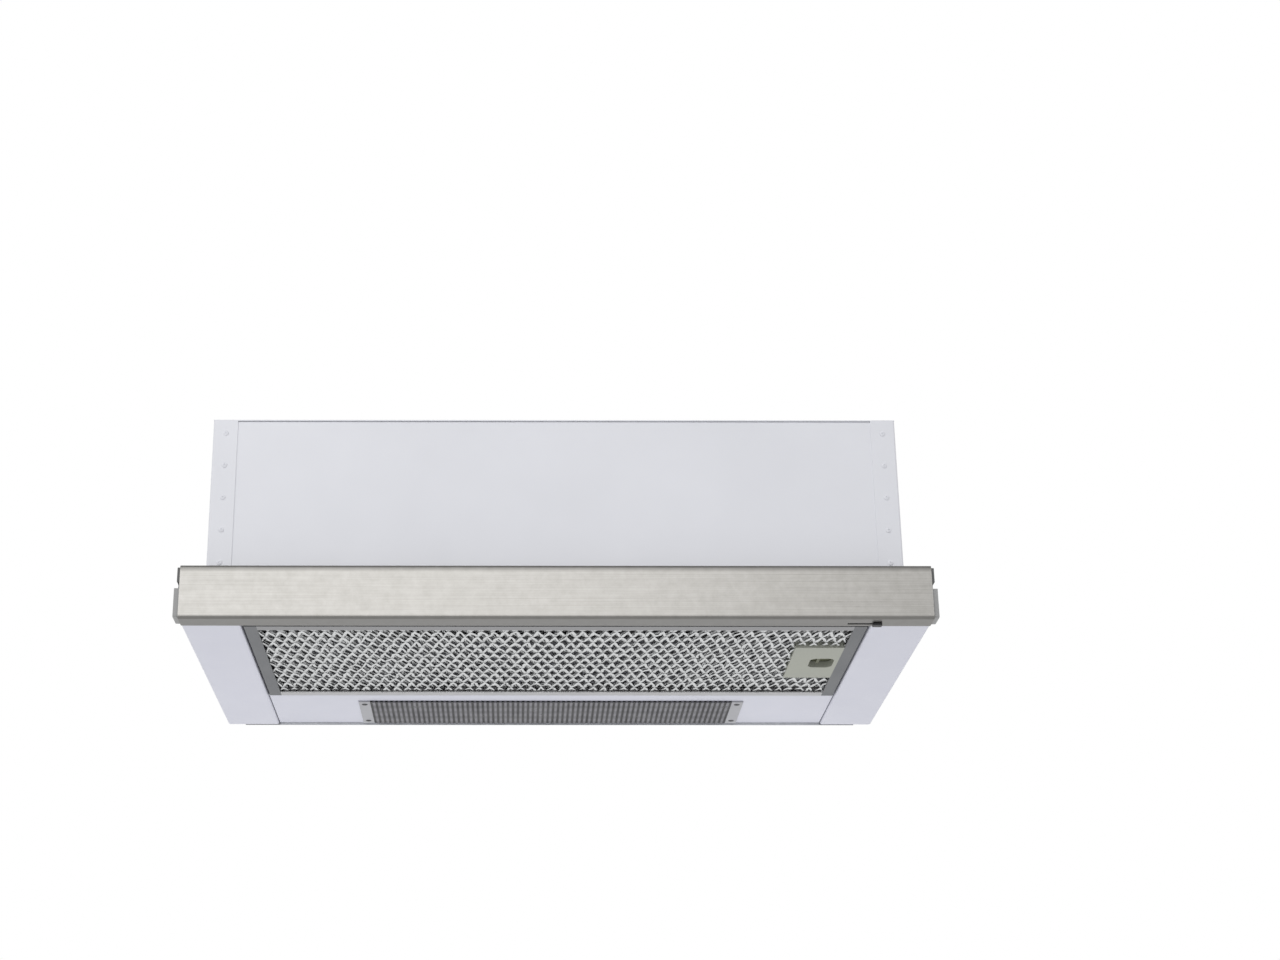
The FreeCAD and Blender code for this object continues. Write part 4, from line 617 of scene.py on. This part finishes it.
def strand_rows(tree, size, half_cell, odd, strand):
    """Strands side by side, every second one shifted so that they meet, round the origin."""
    step = vector(tree, y=size["Row"])
    line = add(tree, "GeometryNodeMeshLine", {"Count": size["Rows"], "Offset": step})
    shift = vector(tree, x=work(tree, "MULTIPLY", odd, half_cell))
    places = offset_by(tree, line.outputs[0], shift)
    copies = add(tree, "GeometryNodeInstanceOnPoints", {"Points": places, "Instance": strand})
    real = add(tree, "GeometryNodeRealizeInstances", {"Geometry": copies.outputs[0]}).outputs[0]
    box = add(tree, "GeometryNodeBoundBox", {"Geometry": real}).outputs
    whole = vector_work(tree, "ADD", box["Min"], box["Max"])
    back = vector_work(tree, "MULTIPLY", whole, (-0.5, -0.5, -0.5))
    return moved(tree, real, Translation=back)


def leaned(tree, size, rows):
    """Rows drawn aslant and shifted, as a second sheet lies on the first."""
    slant = vector(tree, y=work(tree, "MULTIPLY", place_axes(tree)["X"], size["Lean"]))
    return offset_by(tree, rows, vector_work(tree, "ADD", slant, size["Shift"]))


def crumpled(tree, size, rows):
    """Rows whose strands wander a little, as thin foil does."""
    clouds = add(tree, "ShaderNodeTexNoise", {"Scale": CRUMPLES_PER_METRE, "Detail": CRUMPLE_DETAIL})
    about_zero = vector_work(tree, "SUBTRACT", clouds.outputs["Color"], (0.5, 0.5, 0.5))
    return offset_by(tree, rows, vector_work(tree, "MULTIPLY", about_zero, size["Crumple"]))


def trimmed(tree, size, rows):
    """Rows cut to a rectangle with a notch at the right for the latch plate."""
    axes = place_axes(tree)
    across = work(tree, "ABSOLUTE", axes["X"])
    deep = work(tree, "ABSOLUTE", axes["Y"])
    outside = work(tree, "MAXIMUM", work(tree, "GREATER_THAN", across, size["Half Width"]),
                   work(tree, "GREATER_THAN", deep, size["Half Depth"]))
    notched = work(tree, "MULTIPLY", work(tree, "GREATER_THAN", axes["X"], size["Notch Left"]),
                   work(tree, "LESS_THAN", deep, size["Notch Half"]))
    gone = work(tree, "MAXIMUM", outside, notched)
    kept = add(tree, "GeometryNodeDeleteGeometry", {"Geometry": rows, "Selection": gone}, domain="FACE")
    return kept.outputs[0]


def sheet_tree():
    """Sheet of expanded metal: zigzag strands side by side, drawn aslant, crumpled and trimmed."""
    tree, size = new_tree("expanded_sheet", {
        "Cell": "Float", "Row": "Float", "Width": "Float", "Thickness": "Float", "Wave": "Float",
        "Cuts": "Int", "Columns": "Int", "Rows": "Int", "Lean": "Float", "Shift": "Vector",
        "Crumple": "Vector", "Centre": "Vector", "Half Width": "Float", "Half Depth": "Float",
        "Notch Left": "Float", "Notch Half": "Float"})
    half_cell = work(tree, "DIVIDE", size["Cell"], 2.0)
    odd = work(tree, "MODULO", add(tree, "GeometryNodeInputIndex").outputs[0], 2.0)
    strand = zigzag_strand(tree, size, half_cell, odd)
    rows = strand_rows(tree, size, half_cell, odd, strand)
    sheet = trimmed(tree, size, crumpled(tree, size, leaned(tree, size, rows)))
    close_tree(tree, size, moved(tree, sheet, Translation=size["Centre"]))
    return tree


def mesh_sheet(name, tree, node, level_share, sizes, material, notch=None):
    """One expanded sheet in the space of a CAD mesh node."""
    low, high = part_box(node)
    centre = (low + high) / 2
    centre.z = low.z + (high.z - low.z) * level_share
    half_width = (high.x - low.x) / 2 - SHEET_HIDDEN_EDGE
    half_depth = (high.y - low.y) / 2 - SHEET_HIDDEN_EDGE
    half_rise = half_width * abs(sizes["Lean"])
    cells_across = int(half_width / sizes["Cell"]) + SPARE_CELLS
    cells_deep = int((half_depth + half_rise) / (STRANDS_PER_CELL * sizes["Row"])) + SPARE_CELLS
    # Cells on both sides of the middle, with one strand along it
    columns = 2 * POINTS_PER_CELL * cells_across
    rows = 2 * STRANDS_PER_CELL * cells_deep + 1
    values = {**sizes, "Wave": STRAND_WAVE, "Crumple": STRAND_CRUMPLE, "Columns": columns, "Rows": rows,
              "Centre": tuple(centre), "Half Width": half_width, "Half Depth": half_depth,
              "Notch Left": half_width, "Notch Half": 0.0, "Finish": material}
    if notch:
        plate_low, plate_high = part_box(notch)
        values["Notch Left"] = plate_low.x + sizes["Tuck"] - centre.x
        values["Notch Half"] = (plate_high.y - plate_low.y) / 2 - sizes["Tuck"]
    return grown(name, tree, values)


def filter_sheets():
    """Three sheets in the visor's filter, finer upwards, and one in the inner filter."""
    tree = sheet_tree()
    for number, (name, sizes) in enumerate(FILTER_SHEETS.items()):
        level_share = (number + 0.5) / len(FILTER_SHEETS)
        sheet = mesh_sheet(name, tree, "filter_mesh", level_share, sizes, SHEET_FINISHES[name],
                           "latch_plate")
        stands_for(sheet, "filter", "filter_mesh")
    sheet = mesh_sheet("inner_filter_sheet", tree, "inner_filter_mesh", INNER_LEVEL_SHARE, INNER_SHEET,
                       INNER_FILTER_PAINTED_SHADE)
    stands_for(sheet, "casing", "inner_filter_mesh")


# Screws and rivets
def cross_recess(tree, size):
    """Two crossed slots."""
    long = work(tree, "MULTIPLY", size["Head"], SLOT_LENGTH_SHARE)
    thin = work(tree, "MULTIPLY", size["Head"], SLOT_WIDTH_SHARE)
    bars = [add(tree, "GeometryNodeMeshCube", {"Size": vector(tree, x, y, size["Rise"])}).outputs["Mesh"]
            for x, y in ((long, thin), (thin, long))]
    return joined(tree, *bars)


def round_recess(tree, size):
    """Hollow middle of a blind rivet."""
    radius = work(tree, "MULTIPLY", size["Head"], RIVET_HOLE_SHARE)
    hole = add(tree, "GeometryNodeMeshCylinder", {"Vertices": SHANK_SIDES, "Depth": size["Rise"],
                                                  "Radius": radius})
    return hole.outputs["Mesh"]


def fastener_tree(name, recess):
    """Domed head with a recess on a plain shank, one at each point of the given mesh."""
    tree, size = new_tree(name, {"Head": "Float", "Rise": "Float", "Shank": "Float", "Length": "Float",
                                 "Facing": "Vector"})
    ball = add(tree, "GeometryNodeMeshUVSphere", {"Segments": HEAD_SEGMENTS, "Rings": HEAD_RINGS})
    dome = moved(tree, ball.outputs["Mesh"], Scale=vector(tree, size["Head"], size["Head"], size["Rise"]))
    wide = work(tree, "MULTIPLY", size["Head"], BLOCK_WIDTH_SHARE)
    high = work(tree, "MULTIPLY", size["Rise"], BLOCK_HEIGHT_SHARE)
    down = vector(tree, z=work(tree, "MULTIPLY", high, -0.5))
    under = add(tree, "GeometryNodeMeshCube", {"Size": vector(tree, wide, wide, high)}).outputs["Mesh"]
    under = moved(tree, under, Translation=down)
    lift = vector(tree, z=work(tree, "MULTIPLY", size["Rise"], RECESS_LIFT_SHARE))
    head = add(tree, "GeometryNodeMeshBoolean", {"Mesh 1": dome}, operation="DIFFERENCE")
    for tool in (under, moved(tree, recess(tree, size), Translation=lift)):
        tree.links.new(tool, head.inputs["Mesh 2"])
    pin = add(tree, "GeometryNodeMeshCylinder", {"Vertices": SHANK_SIDES, "Radius": size["Shank"],
                                                 "Depth": size["Length"]})
    pin = moved(tree, pin.outputs["Mesh"],
                Translation=vector(tree, z=work(tree, "MULTIPLY", size["Length"], -0.5)))
    turn = add(tree, "FunctionNodeEulerToRotation", {0: size["Facing"]})
    whole = joined(tree, head.outputs["Mesh"], pin)
    copies = add(tree, "GeometryNodeInstanceOnPoints", {"Points": size["Geometry"], "Instance": whole,
                                                        "Rotation": turn.outputs[0]})
    close_tree(tree, size, copies.outputs[0])
    return tree


# Axis and sign that a head points to, with the turn that takes it there
FACINGS = {"+Y": ("y", 1, (-math.pi / 2, 0.0, 0.0)), "-Y": ("y", -1, (math.pi / 2, 0.0, 0.0)),
           "+Z": ("z", 1, (0.0, 0.0, 0.0)), "-Z": ("z", -1, (math.pi, 0.0, 0.0))}


def fastener_places(node, sizes, facing, rows):
    """Seats of a node's fasteners, which fill its box in two columns and some rows."""
    low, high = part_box(node)
    axis, sign, turn = FACINGS[facing]
    other = "z" if axis == "y" else "y"
    seat = getattr(high if sign > 0 else low, axis) - sign * sizes["Rise"]
    start = getattr(low, other) + sizes["Head"]
    end = getattr(high, other) - sizes["Head"]
    places = []
    for across in (low.x + sizes["Head"], high.x - sizes["Head"]):
        for row in range(rows):
            place = Vector((across, 0.0, 0.0))
            setattr(place, axis, seat)
            setattr(place, other, start + (end - start) * row / (rows - 1))
            places.append(place)
    return places, turn


def fasteners(name, node, body, tree, sizes, facing, material, rows=SCREW_ROWS):
    """New screws or rivets in place of a CAD node's plain ones."""
    places, turn = fastener_places(node, sizes, facing, rows)
    mesh = bpy.data.meshes.new(name)
    mesh.from_pydata(places, [], [])
    piece = grown(name, tree, {**sizes, "Facing": turn, "Finish": material}, mesh)
    stands_for(piece, body, node)


def all_fasteners():
    """Rivets of the casing and the three sets of screws."""
    screw = fastener_tree("cross_screw", cross_recess)
    rivet = fastener_tree("blind_rivet", round_recess)
    steel = FINISHES["bright_steel"]
    fasteners("rivet_heads", "casing_rivets", "casing", rivet, RIVET, "-Y",
              FINISHES["casing_paint"], RIVET_ROWS)
    fasteners("cover_screw_heads", "lamp_cover_screws", "casing", screw, COVER_SCREW,
              "-Z", DARK_STEEL)
    fasteners("collar_screw_heads", "collar_screws", "casing", screw, COLLAR_SCREW, "+Z",
              steel)
    fasteners("arm_screw_heads", "arm_screws", "visor", screw, ARM_SCREW, "+Y", steel)


# Studio
def area_light(name, place, aim, width, height, power, mirrored):
    """Soft rectangular lamp that looks at a point."""
    light = bpy.data.lights.new(name, "AREA")
    light.shape = "RECTANGLE"
    light.size = width
    light.size_y = height
    light.energy = power
    lamp = bpy.data.objects.new(name, light)
    lamp.location = place
    lamp.rotation_euler = (Vector(aim) - Vector(place)).to_track_quat("-Z", "Y").to_euler()
    lamp.visible_camera = False
    lamp.visible_glossy = mirrored
    bpy.context.scene.collection.objects.link(lamp)


def seen_directly(tree):
    """One for rays of the eye, of mirrors and of glass, zero for the light that falls on the hood."""
    path = add(tree, "ShaderNodeLightPath").outputs
    mirrored = work(tree, "MAXIMUM", path["Is Glossy Ray"], path["Is Transmission Ray"])
    return work(tree, "MAXIMUM", path["Is Camera Ray"], mirrored)


def surround():
    """White for the eye and for reflections, soft grey light from all round."""
    world = bpy.data.worlds.new("studio")
    bpy.context.scene.world = world
    world.use_nodes = True
    tree = world.node_tree
    light = tree.nodes["Background"]
    light.inputs["Color"].default_value = WORLD_LIGHT
    seen = add(tree, "ShaderNodeBackground", {"Color": OPAQUE_WHITE})
    mix = add(tree, "ShaderNodeMixShader", {0: seen_directly(tree), 1: light.outputs[0],
                                            2: seen.outputs[0]})
    tree.links.new(mix.outputs[0], tree.nodes["World Output"].inputs["Surface"])


def lamps():
    """Large lamp in front and a lower one that lights the underside."""
    area_light("key", **KEY_LAMP)
    area_light("under", **UNDER_LAMP)


def floor():
    """Pale floor far below the hood."""
    mesh = bpy.data.meshes.new("floor")
    shape = bmesh.new()
    bmesh.ops.create_grid(shape, x_segments=1, y_segments=1, size=FLOOR_HALF)
    for vertex in shape.verts:
        vertex.co.z = FLOOR_LEVEL
    shape.to_mesh(mesh)
    shape.free()
    plane = bpy.data.objects.new("floor", mesh)
    bpy.context.scene.collection.objects.link(plane)
    material, tree, shader = finish("floor_pale", FLOOR_MEAN, FLOOR_ROUGHNESS)
    clouds = noise(tree, object_points(tree), **FLOOR_CLOUDS)
    coat(tree, shader, ramp(tree, clouds, FLOOR_DARK, FLOOR_LIGHT),
         roughened(tree, clouds, FLOOR_ROUGHNESS, FLOOR_WANDER))
    glow = add(tree, "ShaderNodeEmission", {"Color": OPAQUE_WHITE})
    share = work(tree, "MULTIPLY", seen_directly(tree), FLOOR_GLOW_SHARE)
    mix = add(tree, "ShaderNodeMixShader", {0: share, 1: shader.outputs[0], 2: glow.outputs[0]})
    tree.links.new(mix.outputs[0], tree.nodes["Material Output"].inputs["Surface"])
    mesh.materials.append(material)


def camera():
    """Camera at the photograph's place."""
    data = bpy.data.cameras.new("camera")
    data.sensor_width = CAMERA_SENSOR
    data.lens = CAMERA_LENS
    data.shift_x = CAMERA_SHIFT_SHARE
    data.clip_end = CAMERA_REACH
    eye = bpy.data.objects.new("camera", data)
    eye.location = CAMERA_PLACE
    eye.rotation_euler = (math.radians(CAMERA_LEVEL + CAMERA_PITCH), 0.0, math.radians(-CAMERA_YAW))
    bpy.context.scene.collection.objects.link(eye)
    bpy.context.scene.camera = eye


bpy.context.scene.view_settings.view_transform = "Standard"
dress_nodes()
filter_sheets()
all_fasteners()
surround()
lamps()
floor()
camera()
